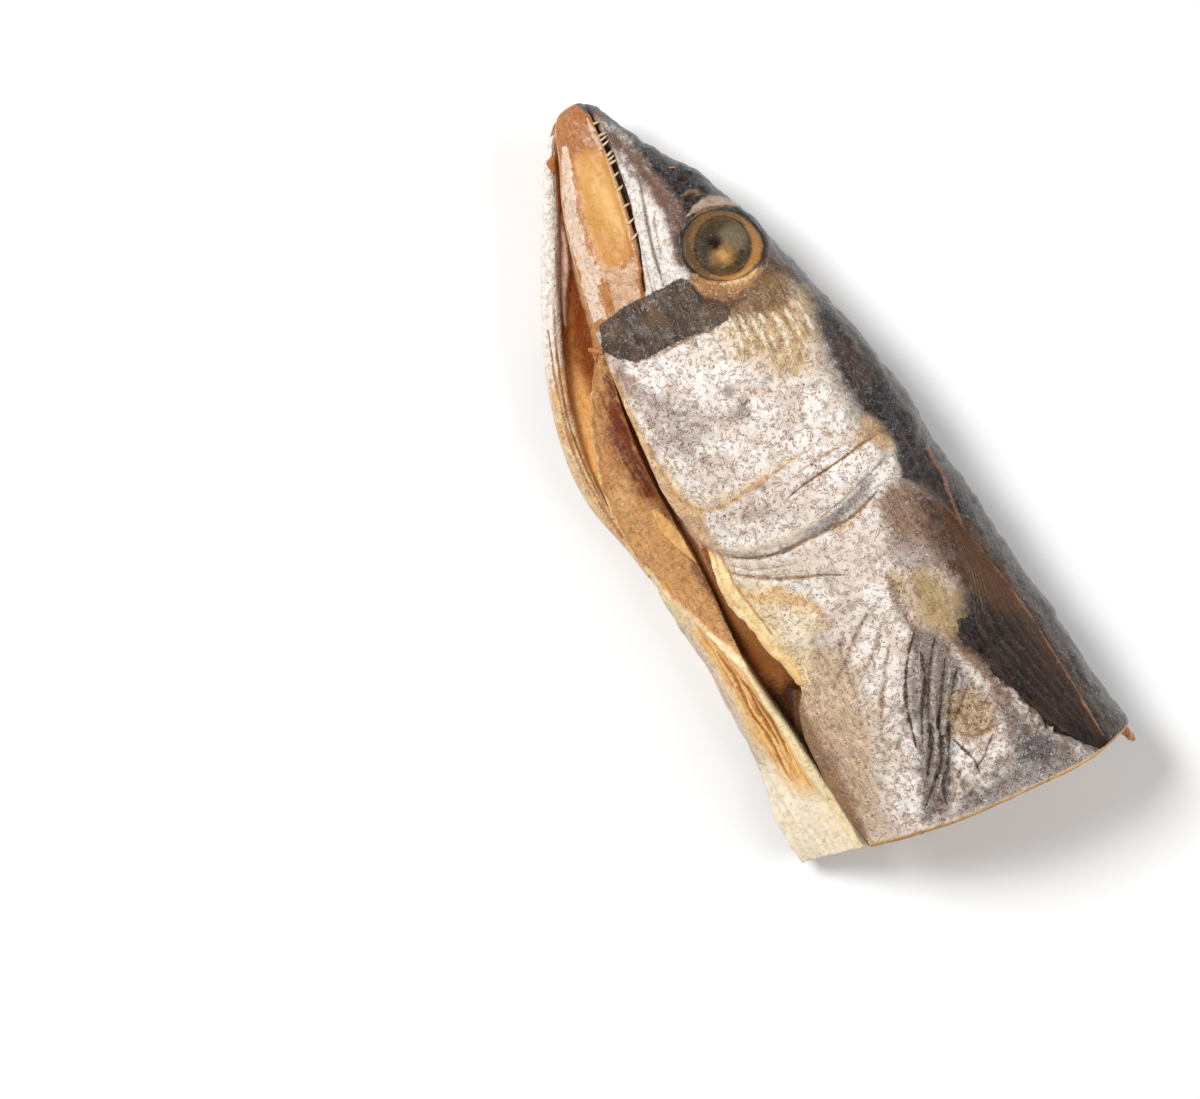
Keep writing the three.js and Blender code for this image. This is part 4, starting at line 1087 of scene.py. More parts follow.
    flesh_marks: tuple[Mark, ...] = (
        patch("throat_light", (246, 190, 118), ((56, -36), (66, -42), (80, -46), (94, -47), (90, -42),
            (74, -38), (62, -33)), soft=3, ragged=1.5),
        stroke("throat_shadow", (142, 72, 22), (1, 3, 8, 9, 6), ((14, -14.6), (30, -20), (45, -26),
            (60, -30), (80, -31)), soft=2.6, ragged=1),
        stroke("throat_fold", (246, 214, 190), (0.8, 2.8, 3.4, 2.2, 0.6), ((20, -18.2), (27, -21.6),
            (33, -25), (39, -28.6), (46, -32)), soft=0.5, ragged=0.8, relief=2, edge=1.4),
        patch("slit_tan", (164, 102, 48), ((100, -60), (100, -10), (158, -10), (158, -43), (214, -43),
            (214, -60)), soft=5, ragged=3),
        # painted shade deep in the rear of the belly slit
        patch("slit_deep_shade", (74, 40, 16), ((156, -40), (152, -30), (158, -20), (210, -10), (210, -40)),
            soft=3, ragged=2),
        stroke("jaw_lip", (206, 162, 116), 1.6,
            along_edge(FORM.near, 6, 14, 22, 30, 38, 46, 54, 66, 78, 90, 102, 112), soft=0.5),
        stroke("far_lip", (220, 192, 158), 3,
            along_edge(FORM.far, 1, 6, 12, 20, 30, 45, 60, 80, 100, 130, 160, 185, 205), soft=0.8,
            ragged=0.8),
        stroke("flank_lip", (126, 88, 56), 2.4, along_edge(FORM.near, 155, 165, 175, 185, 196, 205),
            soft=0.5, ragged=0.4),
    )

    @property
    def marks(self) -> tuple[Mark, ...]:
        """All marks of the skin, in the order in which they lie over each other."""
        return (*self.belly_marks, *self.shoulder_marks, *self.back_marks, *self.jaw_marks, *self.orbit_marks,
                *self.cover_marks, *self.fin_marks, *self.fold_marks)

    def rows(self) -> Array:
        """Places of the sections along the fish, closer together where the detail is."""
        ends = [start for start, _ in self.row_steps[1:]] + [FORM.length]
        parts = [np.linspace(start, end, round((end - start) / step), endpoint=False)
                 for (start, step), end in zip(self.row_steps, ends)]
        return np.append(np.concatenate(parts), FORM.length)

    def top_columns(self, s: float) -> Array:
        """Places across the upper skin at one section, spread along its curve and close at the mouth."""
        near, back = float(FORM.near(s)), float(FORM.back(s))
        d = near + (back - near) * np.sin(np.linspace(0, math.pi / 2, ARC_SAMPLES))
        arc = arc_lengths(d, FORM.upper(np.full(d.shape, s), d))
        mouth = float(np.interp(FORM.mouth(s), d, arc))
        gap = min(self.mouth_spread, 0.4 * mouth, 0.4 * (arc[-1] - mouth))
        places = np.concatenate([
            np.linspace(0, mouth - gap, self.near_columns), mouth + gap * np.array(self.mouth_cluster),
            np.linspace(mouth + gap, arc[-1], self.back_columns)])
        return np.interp(places, arc, d)

    def under_places(self, s: float) -> Array:
        """Places across the lower skin at one section, from the back to the far belly edge."""
        far, back = float(FORM.far(s)), float(FORM.back(s))
        d = back + (far - back) * (1 - np.cos(np.linspace(0, math.pi / 2, ARC_SAMPLES)))
        arc = arc_lengths(d, FORM.lower(np.full(d.shape, s), d))
        return np.interp(np.linspace(0, arc[-1], self.under_columns + 1)[1:], arc, d)

    def gill_height(self, s: Array, d: Array) -> Array:
        """How far the gill cover stands off the cheek: free at its rear margin, grown on at its front."""
        inside = patch("cover", None, self.gill_outline).reading(s, d)[1]
        grown = smooth(64, 82, s) * smooth(24, 14, d)
        return self.gill_lift * grown * smooth(-0.3, 2.2, inside)

    def wrinkles(self, s: Array, d: Array) -> Array:
        """Unevenness of the dried skin, in mm: swells, shrink ridges along the fish and fine crumpling."""
        noise = Crumple(11)
        swell = self.swells.over(noise, s, d)
        dents = self.dents.over(noise, s, d) + self.ridges.over(noise, s, d)
        crumple = self.crumpling.over(noise, s, d)
        rear = smooth(152, 182, s) * smooth(205, 200, s) * smooth(-26, -10, d) * smooth(30, 22, d)
        net = np.abs(self.net.over(noise, s + d, s - d)) * rear
        jaw = smooth(1, -2, d - FORM.mouth(s)) * smooth(54, 46, s)
        calm = smooth(0, 14, s)
        return (swell + dents * (1 - 0.7 * jaw)) * calm + crumple * (1 - 0.75 * jaw) - net

    def relief(self, s: Array, d: Array) -> tuple[dict[str, Array], Array]:
        """Everything that stands off the skin, and where each of its marks is."""
        values, height = mark_values(self.marks, s, d)
        return values, height + self.gill_height(s, d) + self.wrinkles(s, d)

    def build(self, skin: bpy.types.Material, flesh: bpy.types.Material) -> bpy.types.Object:
        """Makes the shell.

        Args:
            skin: the finish outside.
            flesh: the finish inside the belly slit and at the cut.

        Returns:
            The new piece.
        """
        rows = self.rows()
        top = np.array([self.top_columns(s) for s in rows])
        under = np.array([self.under_places(s) for s in rows])
        outer_d = np.hstack([top, under])
        s_top, s_under = (np.repeat(rows[:, None], part.shape[1], 1) for part in (top, under))
        outer_s = np.hstack([s_top, s_under])
        outer_z = np.hstack([FORM.upper(s_top, top), FORM.lower(s_under, under)])
        keep = FORM.snout_share(rows)[:, None]
        centre = (FORM.near(rows) + FORM.back(rows))[:, None] / 2
        outer_d = centre + (outer_d - centre) * keep
        outer_z = FORM.middle + (outer_z - FORM.middle) * keep
        true_s = FORM.true_s(outer_s, outer_d)
        widest, near, far = (f(rows)[:, None] for f in (FORM.widest, FORM.near, FORM.far))
        folded = np.where(under < widest, widest - (widest - under) * (widest - near) / (widest - far), under)
        seen_d = np.hstack([outer_d[:, :top.shape[1]], folded])
        values, height = self.relief(true_s, seen_d)
        points = FORM.on_part(true_s, outer_d, outer_z)
        points += grid_normals(points) * height[..., None] * MM
        points[..., 2] = np.maximum(points[..., 2], 0)
        # how far each point lies below its surroundings, which the finish darkens as painted shade
        around = blurred(height, self.hollow_reach)
        values["hollow_shade"] = np.clip((around - height) / self.hollow_depth, -1, 1)

        inner, inner_values = self.slit(rows, points[:, 0], points[:, -1], keep, centre)
        ring = np.concatenate([points, inner], 1)
        count = ring.shape[1]
        for name, numbers in values.items():
            filler = np.full(inner.shape[:2], 0.0 if name == "hollow_shade" else FAR_AWAY)
            values[name] = np.hstack([numbers, filler])
        for name, numbers in inner_values.items():
            outside = np.full(points.shape[:2], FAR_AWAY)
            outside[:, 0], outside[:, -1] = numbers[:, -1], numbers[:, 0]
            values[name] = np.hstack([outside, numbers])

        turns = np.linspace(0, math.pi / 2, self.dome_rows + 1)[1:][::-1]
        middle = ring[0].mean(0)
        rise = self.snout_dome * MM
        dome = [middle + (ring[0] - middle) * max(math.cos(a), self.dome_tip) + (0, rise * math.sin(a), 0)
                for a in turns]
        ring = np.concatenate([dome, ring])
        values = {k: np.vstack([np.repeat(v[:1], len(dome), 0), v]) for k, v in values.items()}
        column = np.tile(np.arange(count), len(ring) - 1)
        slots = np.append((column >= points.shape[1] - 1).astype(int), [0, 1])
        return make_piece("fish_skin", ring, loft_faces(len(ring), count), [skin, flesh], values, slots)

    def slit(self, rows: Array, near_rim: Array, far_rim: Array, keep: Array,
             centre: Array) -> tuple[Array, dict[str, Array]]:
        """The belly slit's inside, from the far belly edge in along its floor and back under the near wall.

        Args:
            rows: the sections.
            near_rim: the upper skin's edge points at the slit.
            far_rim: the lower skin's edge points.
            keep: the share that each section keeps at the snout.
            centre: the middle that it shrinks to.

        Returns:
            The points, row by row, and their marks.
        """
        s = rows[:, None]
        near, far, end = FORM.near(s), FORM.far(s), FORM.near(s) + FORM.slit_depth(s)
        floor_d = far + (end - far) * np.linspace(0, 1, self.floor_columns)
        roof_d = end + (near - end) * np.linspace(0, 1, self.roof_columns)
        bed = FORM.slit_bed(s) * smooth(far, near, floor_d)
        floor_z = FORM.lower(s + 0 * floor_d, floor_d) + FORM.far_wall(s) + bed
        roof_z = FORM.upper(s + 0 * roof_d, roof_d) - FORM.near_wall(s)
        climb = np.linspace(0, 1, self.wall_columns + 2)[1:-1]
        wall_d = end + 0 * climb + self.wall_bulge * np.sin(climb * math.pi)
        wall_z = floor_z[:, -1:] + (roof_z[:, :1] - floor_z[:, -1:]) * climb
        d, z = np.hstack([floor_d, wall_d, roof_d]), np.hstack([floor_z, wall_z, roof_z])
        along = s + 0 * d
        noise = Crumple(23)
        values, height = mark_values(self.flesh_marks, along, d)
        z[:, :self.floor_columns] += height[:, :self.floor_columns]
        z += 0.35 * noise.layered(along / 9, d / 1.6 + z / 3, 2) * smooth(4, 16, along)
        d = centre + (d - centre) * keep
        z = FORM.middle + (z - FORM.middle) * keep
        inner = FORM.on_part(FORM.true_s(along, d), d, z)
        lip = (near_rim[:, None] + inner[:, -1:]) / 2 + np.array([-self.near_roll * MM, 0, 0])
        edge = (far_rim[:, None] + inner[:, :1]) / 2 + np.array([-self.far_roll * MM, 0, 0])
        for name in values:
            values[name] = np.hstack([values[name][:, :1], values[name], values[name][:, -1:]])
        return np.concatenate([edge, inner, lip], 1), values


@dataclass
class Eye:
    """The dried eye: a dull cloudy disc inside a wide ring of iris, sunk into its socket."""

    disc: Point = (6.8, 7.4)
    outer: Point = (10.5, 9.3)
    disc_share: float = 0.72
    depth: float = 3.5
    rings: int = 44
    sides: int = 110
    first_ring: float = 0.015
    dents: Bumps = Bumps(0.22, 2, 2)
    rise: Profile = Profile((0, 0.9), (0.3, 0.85), (0.55, 0.55), (0.68, 0.2), (0.74, 0), (0.8, 0.25),
                            (0.86, 0.6), (0.93, 0.5), (1, -0.3))
    marks: tuple[Mark, ...] = (
        stroke("iris_amber", (172, 120, 62), (0.8, 2.4, 2.8, 2, 0.6), EYE.arc(8.6, 8.3, -60, 115, 5),
            soft=0.8),
        stroke("iris_pale", (188, 146, 96), (0.2, 0.8, 0.8, 0.2), EYE.arc(9, 8.5, 20, 80, 4), soft=0.4,
            ragged=0.5),
        stroke("iris_brown", (130, 92, 50), (0.4, 1.4, 1.6, 1.2, 0.3), EYE.arc(8, 8.1, 170, 320, 5),
            soft=0.8, ragged=0.5),
        patch("eye_disc", (66, 53, 33), EYE.arc(6.7, 7.2, 0, 330, 12), soft=1.3, ragged=0.8, gloss=0.45),
        EYE.spot("eye_grey", (132, 116, 88), (2.6, -2.2), (3.2, 3.4), soft=2.2, ragged=1.1, strength=0.75,
            gloss=0.45),
        EYE.spot("eye_rim_shade", (52, 43, 30), (-4.6, 1), (1.4, 4), soft=1.6, ragged=0.5, strength=0.7),
        EYE.spot("eye_glow", (172, 126, 70), (-0.1, 2.6), (2.7, 2.6), soft=2, ragged=0.9, gloss=0.42),
        EYE.spot("eye_glow_core", (202, 158, 98), (-0.2, 2.5), (1, 0.9), soft=1, ragged=0.5, gloss=0.42),
        EYE.spot("eye_dark", (30, 18, 10), (-2.2, -0.5), (1.7, 1.6), soft=1.1, ragged=0.7),
        EYE.spot("eye_speck_1", (48, 38, 28), (4.6, 1.9), (0.6, 0.8), soft=0.3, ragged=0.4),
        EYE.spot("eye_speck_2", (54, 44, 34), (3.4, 4.4), (0.9, 0.5), soft=0.3, ragged=0.4),
        stroke("eye_outline", (60, 44, 28), (0.4, 0.3, 0.2, 0.3, 0.5, 0.4, 0.3, 0.3, 0.4),
            EYE.arc(7, 7.6, 0, 360, 9), soft=0.5, ragged=0.4),
    )

    finish: DriedFinish = DriedFinish(
        "dried_eye", base=(110, 82, 48), cloud=(86, 63, 37), flake=(136, 100, 58), fibre=(70, 50, 30),
        marks=marks, flake_share=0.3, fibre_share=0.5, curl_share=0.3, crest_highlight_share=0.06, pinhole_share=0.3,
        roughness=0.45, bump=0.5, coat=0.02, coat_roughness=0.3, specular=0.15)

    def build(self) -> bpy.types.Object:
        """Makes the eye as one closed mesh."""
        share = np.linspace(self.first_ring, 1, self.rings)
        share = np.concatenate([share, share[::-1]])[:, None]
        turn = np.linspace(0, math.tau, self.sides, endpoint=False)
        inner, ring = np.minimum(share / self.disc_share, 1), smooth(self.disc_share, 1, share)
        reach = [inner * a + ring * (b - a) for a, b in zip(self.disc, self.outer)]
        s, d = EYE.at(reach[0] * np.cos(turn), reach[1] * np.sin(turn))
        under = np.arange(2 * self.rings)[:, None] >= self.rings
        values, relief = mark_values(self.marks, s, d)
        dents = self.dents.over(Crumple(5), s, d)
        z = FORM.upper(s, d) + np.where(under, -self.depth, self.rise(share) + dents + relief)
        faces = loft_faces(2 * self.rings, self.sides)
        return make_piece("eye", FORM.on_part(s, d, z), faces, [self.finish.material()], values)


@dataclass
class Teeth:
    """Small teeth and strands of dried skin across the mouth gap, from the lower lip up."""

    places: tuple[float, ...] = (6.2, 9.6, 10.8, 12.2, 15, 16.2, 17.2, 20.4, 24, 28.4, 32.6, 36.4)
    radius: float = 0.42
    steps: int = 7
    sides: int = 8
    reach: Point = (1.7, 2.3)
    lean: Point = (-0.7, 0.3)
    girth: Point = (0.7, 1.1)
    taper: Point = (1.1, 0.6)
    root: float = 1.2
    sunk: float = 0.7
    arch: float = 0.9
    arch_turn: float = 2.6

    finish: DriedFinish = DriedFinish(
        "tooth_bone", base=(222, 194, 152), cloud=(204, 168, 120), flake=(232, 208, 170),
        fibre=(186, 148, 102), curl_share=0.2, pinhole_share=0.2, roughness=0.35, bump=0.2)

    def build(self) -> bpy.types.Object:
        """Makes all the teeth as one mesh."""
        draw = np.random.default_rng(8)
        parts = []
        t = np.linspace(0, 1, self.steps)
        for place in self.places:
            reach, lean = draw.uniform(*self.reach), draw.uniform(*self.lean)
            d = FORM.mouth(place) - self.root + reach * t
            s = place + lean * t * t + 0 * d
            z = FORM.upper(s, d) - self.sunk + self.arch * np.sin(t * self.arch_turn)
            radii = self.radius * draw.uniform(*self.girth) * (self.taper[0] - self.taper[1] * t)
            parts.append(tube(np.column_stack([s, d, z]), radii, self.sides))
        points, faces = joined(parts)
        return make_piece("teeth", points, faces, [self.finish.material()])


@dataclass
class FarJaw:
    """The far jaw and the layered far edge of the throat, a raised lip along the belly."""

    start: float = 3.0
    end: float = 112.0
    rows: int = 190
    columns: int = 34
    root: float = 0.4
    overhang: float = 0.6
    squareness: float = 0.38
    layers: float = 3.2
    layer_step: float = 0.8
    layer_start: Point = (36, 56)
    layer_waver: float = 0.12
    waver_length: float = 17.0
    lumps: Bumps = Bumps(0.3, 11, 0.2)
    width: Profile = Profile((3, 2.2), (10, 3.4), (20, 4.6), (30, 5.2), (50, 5.6), (65, 5), (90, 3.8),
                             (112, 1.4))
    height: Profile = Profile((3, 4), (20, 6.4), (60, 7.2), (110, 5.4))
    marks: tuple[Mark, ...] = (
        patch("far_white", (250, 243, 234), ((2, -18), (2, -8), (20, -16), (36, -26), (50, -34), (54, -44),
            (20, -30)), soft=3, ragged=2, streak=(236, 221, 204)),
        stroke("far_inner", (150, 92, 46), (0.4, 0.7, 1, 1.6, 1.2), ((12, -13.6), (22, -18.8), (40, -29.2),
            (60, -38.6), (80, -43.6)), soft=0.5),
        stroke("far_line_1", (180, 126, 74), (0.3, 0.7, 0.8, 0.5), ((44, -35.8), (60, -42), (80, -46.6),
            (100, -46)), soft=0.3, ragged=0.5, relief=-0.4, edge=0.8),
        stroke("far_line_2", (190, 138, 84), (0.3, 0.6, 0.6, 0.4), ((40, -31.6), (52, -37.6), (70, -43.8),
            (95, -46.6)), soft=0.3, ragged=0.5, relief=-0.4, edge=0.8),
    )

    finish: DriedFinish = DriedFinish(
        "far_skin", base=(232, 196, 144), cloud=(212, 162, 104), flake=(244, 224, 190), fibre=(180, 124, 70),
        marks=marks, fibre_share=0.45, fibre_stretch=0.08, curl_share=0.4, roughness=0.36, bump=0.7)

    def build(self) -> bpy.types.Object:
        """Makes the lip as one closed mesh."""
        s = np.linspace(self.start, self.end, self.rows)[:, None]
        turn = np.linspace(0, math.pi, self.columns)[None, :]
        d = FORM.far(s) - self.overhang + (self.width(s) + self.overhang) / 2 * (1 - np.cos(turn))
        noise = Crumple(41)
        share = turn / math.pi + self.layer_waver * noise(s / self.waver_length, 0 * turn)
        layered = self.layer_step * ((self.layers * share) % 1 - 0.5) * smooth(*self.layer_start, s)
        along = s + 0 * d
        values, relief = mark_values(self.marks, along, d)
        relief += (layered + self.lumps.over(noise, along, share)) * np.sin(turn)
        z = FORM.far_height(s) + self.root + self.height(s) * np.sin(turn) ** self.squareness + relief
        ring = FORM.on_part(along, d, z)
        faces = loft_faces(self.rows, self.columns)
        return make_piece("far_jaw", ring, faces, [self.finish.material()], values)


@dataclass
class BellyStrip:
    """The strip of dried flesh and skin that stands outside the belly slit."""

    start: float = 48.0
    crown: float = 1.4
    rows: int = 260
    columns: int = 56
    wall_columns: int = 8
    root: float = 0.8
    edge_drop: float = 1.2
    edge_share: float = 0.14
    wall_reach: float = 1.3
    outer_reach: float = 1.2
    outer_sunk: float = 0.6
    fibres: Bumps = Bumps(0.45, 13, 1.3)
    lumps: Bumps = Bumps(0.4, 7, 3.6, layers=3)
    outer: Profile = Profile((48, -25.5), (57, -29.6), (62, -33), (70, -38), (80, -42), (92, -45), (110, -45),
                             (140, -43.5), (170, -44.8), (190, -47.2), (198, -47.4), (204, -46.8))
    ridge: Profile = Profile((48, -22.5), (57, -26), (70, -29.6), (90, -32.4), (120, -33), (142, -35),
                             (165, -33.3), (204, -31.6))
    outer_height: Profile = Profile((48, 9.5), (57, 17), (70, 15), (90, 13), (140, 10.5), (204, 9))
    ridge_height: Profile = Profile((48, 10), (57, 20.5), (75, 21), (110, 19.5), (145, 22), (204, 24))
    marks: tuple[Mark, ...] = (
        patch("strip_red", (124, 54, 14), ((62, -28), (70, -29.4), (84, -31.4), (95, -33), (94, -36),
            (84, -36.4), (74, -35), (66, -31.6)), soft=2.6, ragged=2, calm=0.6, gloss=0.5,
            streak=(96, 38, 9)),
        patch("strip_orange", (220, 166, 104), ((90, -44), (96, -37), (112, -37), (128, -35.6), (138, -36),
            (130, -39.6), (116, -43.4), (100, -46)), soft=2, ragged=1.4, streak=(204, 146, 86)),
        stroke("strip_inner", (128, 74, 34), (0.8, 2, 2.2, 2.2, 1.8, 0.8), ((76, -31), (90, -32.2),
            (100, -33.4), (116, -33.4), (130, -33.6), (142, -34.6)), soft=0.8, ragged=0.8, strength=0.9),
        patch("strip_petal", (238, 184, 112), ((97.4, -36), (99.9, -34.1), (105.2, -32.7), (110.3, -31.7),
            (115.1, -32.5), (111.4, -34.3), (106.5, -36), (101.7, -36.5)), soft=0.3, ragged=0.3, relief=1.1,
            edge=0.8, calm=0.6),
        stroke("strip_front", (242, 204, 150), (0.4, 1.3, 1.5, 1.4, 1.2, 0.5), ((57, -30.2), (63, -34.4),
            (71, -39), (80, -42.4), (90, -44.9), (98, -45.6)), soft=0.35, ragged=0.3, relief=0.4, edge=0.8),
        patch("strip_flap", (240, 214, 170), ((92, -48), (100.7, -46.4), (108, -44.9), (114.7, -43.3),
            (122.3, -41.2), (130, -39.2), (138.1, -37.4), (146, -34.6), (160, -32.6), (190, -30.6),
            (208, -30), (208, -54), (120, -54)), soft=0.4, ragged=0.4, relief=0.8, edge=0.9, calm=0.5,
            streak=(228, 190, 134)),
        patch("strip_flesh", (250, 202, 124), ((129, -40.8), (140.5, -41.6), (149, -40.8), (160, -41.4),
            (168.5, -41.2), (176, -41.6), (181, -38), (178, -35.2), (168, -34.6), (158, -34.6), (148, -35.4),
            (140, -36.8), (134, -39)), soft=1, ragged=1, calm=0.5, streak=(212, 146, 72)),
        patch("strip_skin", (226, 205, 182), ((118, -46), (126, -43.4), (135, -42.2), (149, -41.8),
            (160, -42.4), (168.5, -42.2), (177, -43.2), (190, -45), (194, -54), (118, -54)), soft=0.7,
            ragged=0.8, streak=(196, 166, 138)),
        *(stroke(f"strip_crack_{k}", (176, 106, 50), (0.2, 0.8, 0.6, 0.2), (
            (136 + 6 * k, -39.6 + 1.2 * (k % 3)), (144 + 6 * k, -39 + 1.4 * (k % 3)),
            (152 + 6 * k, -39.6 + 1.6 * (k % 3)), (160 + 5 * k, -39.4 + 1.5 * (k % 3))),
            soft=0.3, ragged=0.4, relief=-0.5, edge=1) for k in range(4)),
        patch("strip_pale", (252, 238, 212), ((168, -44), (176, -40), (181, -35.4), (188, -32.6), (200, -30),
            (206, -50), (180, -52)), soft=3, ragged=1.6, calm=0.6, gloss=0.28, streak=(243, 220, 180)),
        stroke("strip_ridge", (251, 229, 180), (0.6, 1.6, 2, 2.2, 2.2, 1.8), ((131, -39.4), (138, -36.8),
            (148, -34.7), (160, -33.9), (178, -33.5), (200, -32.4)), soft=0.5, ragged=0.4, relief=0.7,
            edge=1.2, calm=0.5),
    )

    finish: DriedFinish = DriedFinish(
        "strip_flesh_and_skin", base=(212, 154, 94), cloud=(186, 124, 66), flake=(228, 182, 120),
        fibre=(150, 92, 46), marks=marks, fibre_share=0.6, fibre_stretch=0.07, curl_share=0.3,
        crest_highlight_share=0.15, pinhole_share=0.5, roughness=0.32, bump=0.9, coat=0.06, coat_roughness=0.14,
        specular=0.25)

    def build(self) -> bpy.types.Object:
        """Makes the strip as one closed mesh, from its outer edge up to the ridge and down into the slit."""
        s = np.linspace(self.start, FORM.length, self.rows)[:, None]
        t = np.linspace(0, 1, self.columns)[None, :]
        outer, ridge = self.outer(s), self.ridge(s)
        d = outer + (ridge - outer) * t
        bulge = self.crown * np.sin(math.pi * t) + self.edge_drop * (smooth(0, self.edge_share, t) - 1)
        z = self.outer_height(s) + (self.ridge_height(s) - self.outer_height(s)) * t + bulge
        true_s = FORM.true_s(s + 0 * d, d)
        values, relief = mark_values(self.marks, true_s, d)
        noise = Crumple(31)
        relief += self.fibres.over(noise, true_s, d) + self.lumps.over(noise, true_s, d)
        points = FORM.on_part(true_s, d, z)
        points += grid_normals(points) * relief[..., None] * MM
        down = np.linspace(0, 1, self.wall_columns + 1)[None, 1:]
        root = FORM.lower(s, ridge) + self.root
        wall_d = ridge + self.wall_reach * np.sin(down * math.pi / 2)
        wall_z = z[:, -1:] + (root - z[:, -1:]) * down
        wall = FORM.on_part(FORM.true_s(s + 0 * wall_d, wall_d), wall_d, wall_z)
        outer_root = np.maximum(root, FORM.lower(s, outer) + self.root)
        up_d = outer + self.outer_reach * np.cos(down * math.pi / 2)
        up_z = outer_root + (z[:, :1] - self.outer_sunk - outer_root) * down
        up = FORM.on_part(FORM.true_s(s + 0 * up_d, up_d), up_d, up_z)
        ring = np.concatenate([points, wall, up], 1)
        sides = (slice(-1, None), slice(0, 1))
        for name, inside in values.items():
            edges = [np.repeat(inside[:, side], self.wall_columns, 1) for side in sides]
            values[name] = np.hstack([inside, *edges])
        faces = loft_faces(self.rows, ring.shape[1])
        return make_piece("belly_strip", ring, faces, [self.finish.material()], values)


@dataclass
class ShoulderRim:
    """The curled yellow rim of the shoulder at the belly slit."""

    start: float = 113.5
    end: float = 154.6
    steps: int = 120
    sides: int = 16
    lift: float = 0.2
    waver: float = 0.4
    waver_length: float = 3.4
    turn_start: float = 152.6
    turn_in: float = 1.8
    turn_down: float = 1.6
    lumps: float = 0.25
    lump_length: float = 1.9
    radius: Profile = Profile((113.5, 0.3), (116, 0.8), (120, 0.7), (128, 0.85), (140, 0.95), (150, 1.1),
                              (153.6, 0.8), (154.6, 0.3))

    finish: DriedFinish = DriedFinish(
        "rim_skin", base=(240, 208, 148), cloud=(224, 180, 112), flake=(250, 232, 190),
        fibre=(214, 166, 102), fibre_share=0.5, fibre_stretch=0.1, curl_share=0.2, crest_highlight_share=0.1,
        pinhole_share=0.3, roughness=0.32)

    def build(self) -> bpy.types.Object:
        """Makes the rim as a bar that wavers along the edge of the skin."""
        s = np.linspace(self.start, self.end, self.steps)
        noise = Crumple(51)
        turned = smooth(self.turn_start, self.end, s)
        waver = self.waver * noise(s / self.waver_length, 0 * s)
        d = FORM.near(s) + self.lift + waver + self.turn_in * turned
        z = FORM.upper(s, np.maximum(d, FORM.near(s))) + self.lift - self.turn_down * turned
        radii = self.radius(s) * (1 + self.lumps * noise(s / self.lump_length, 5 + 0 * s))
        points, faces = tube(np.column_stack([s, d, z]), radii, self.sides)
        return make_piece("shoulder_rim", points, faces, [self.finish.material()])


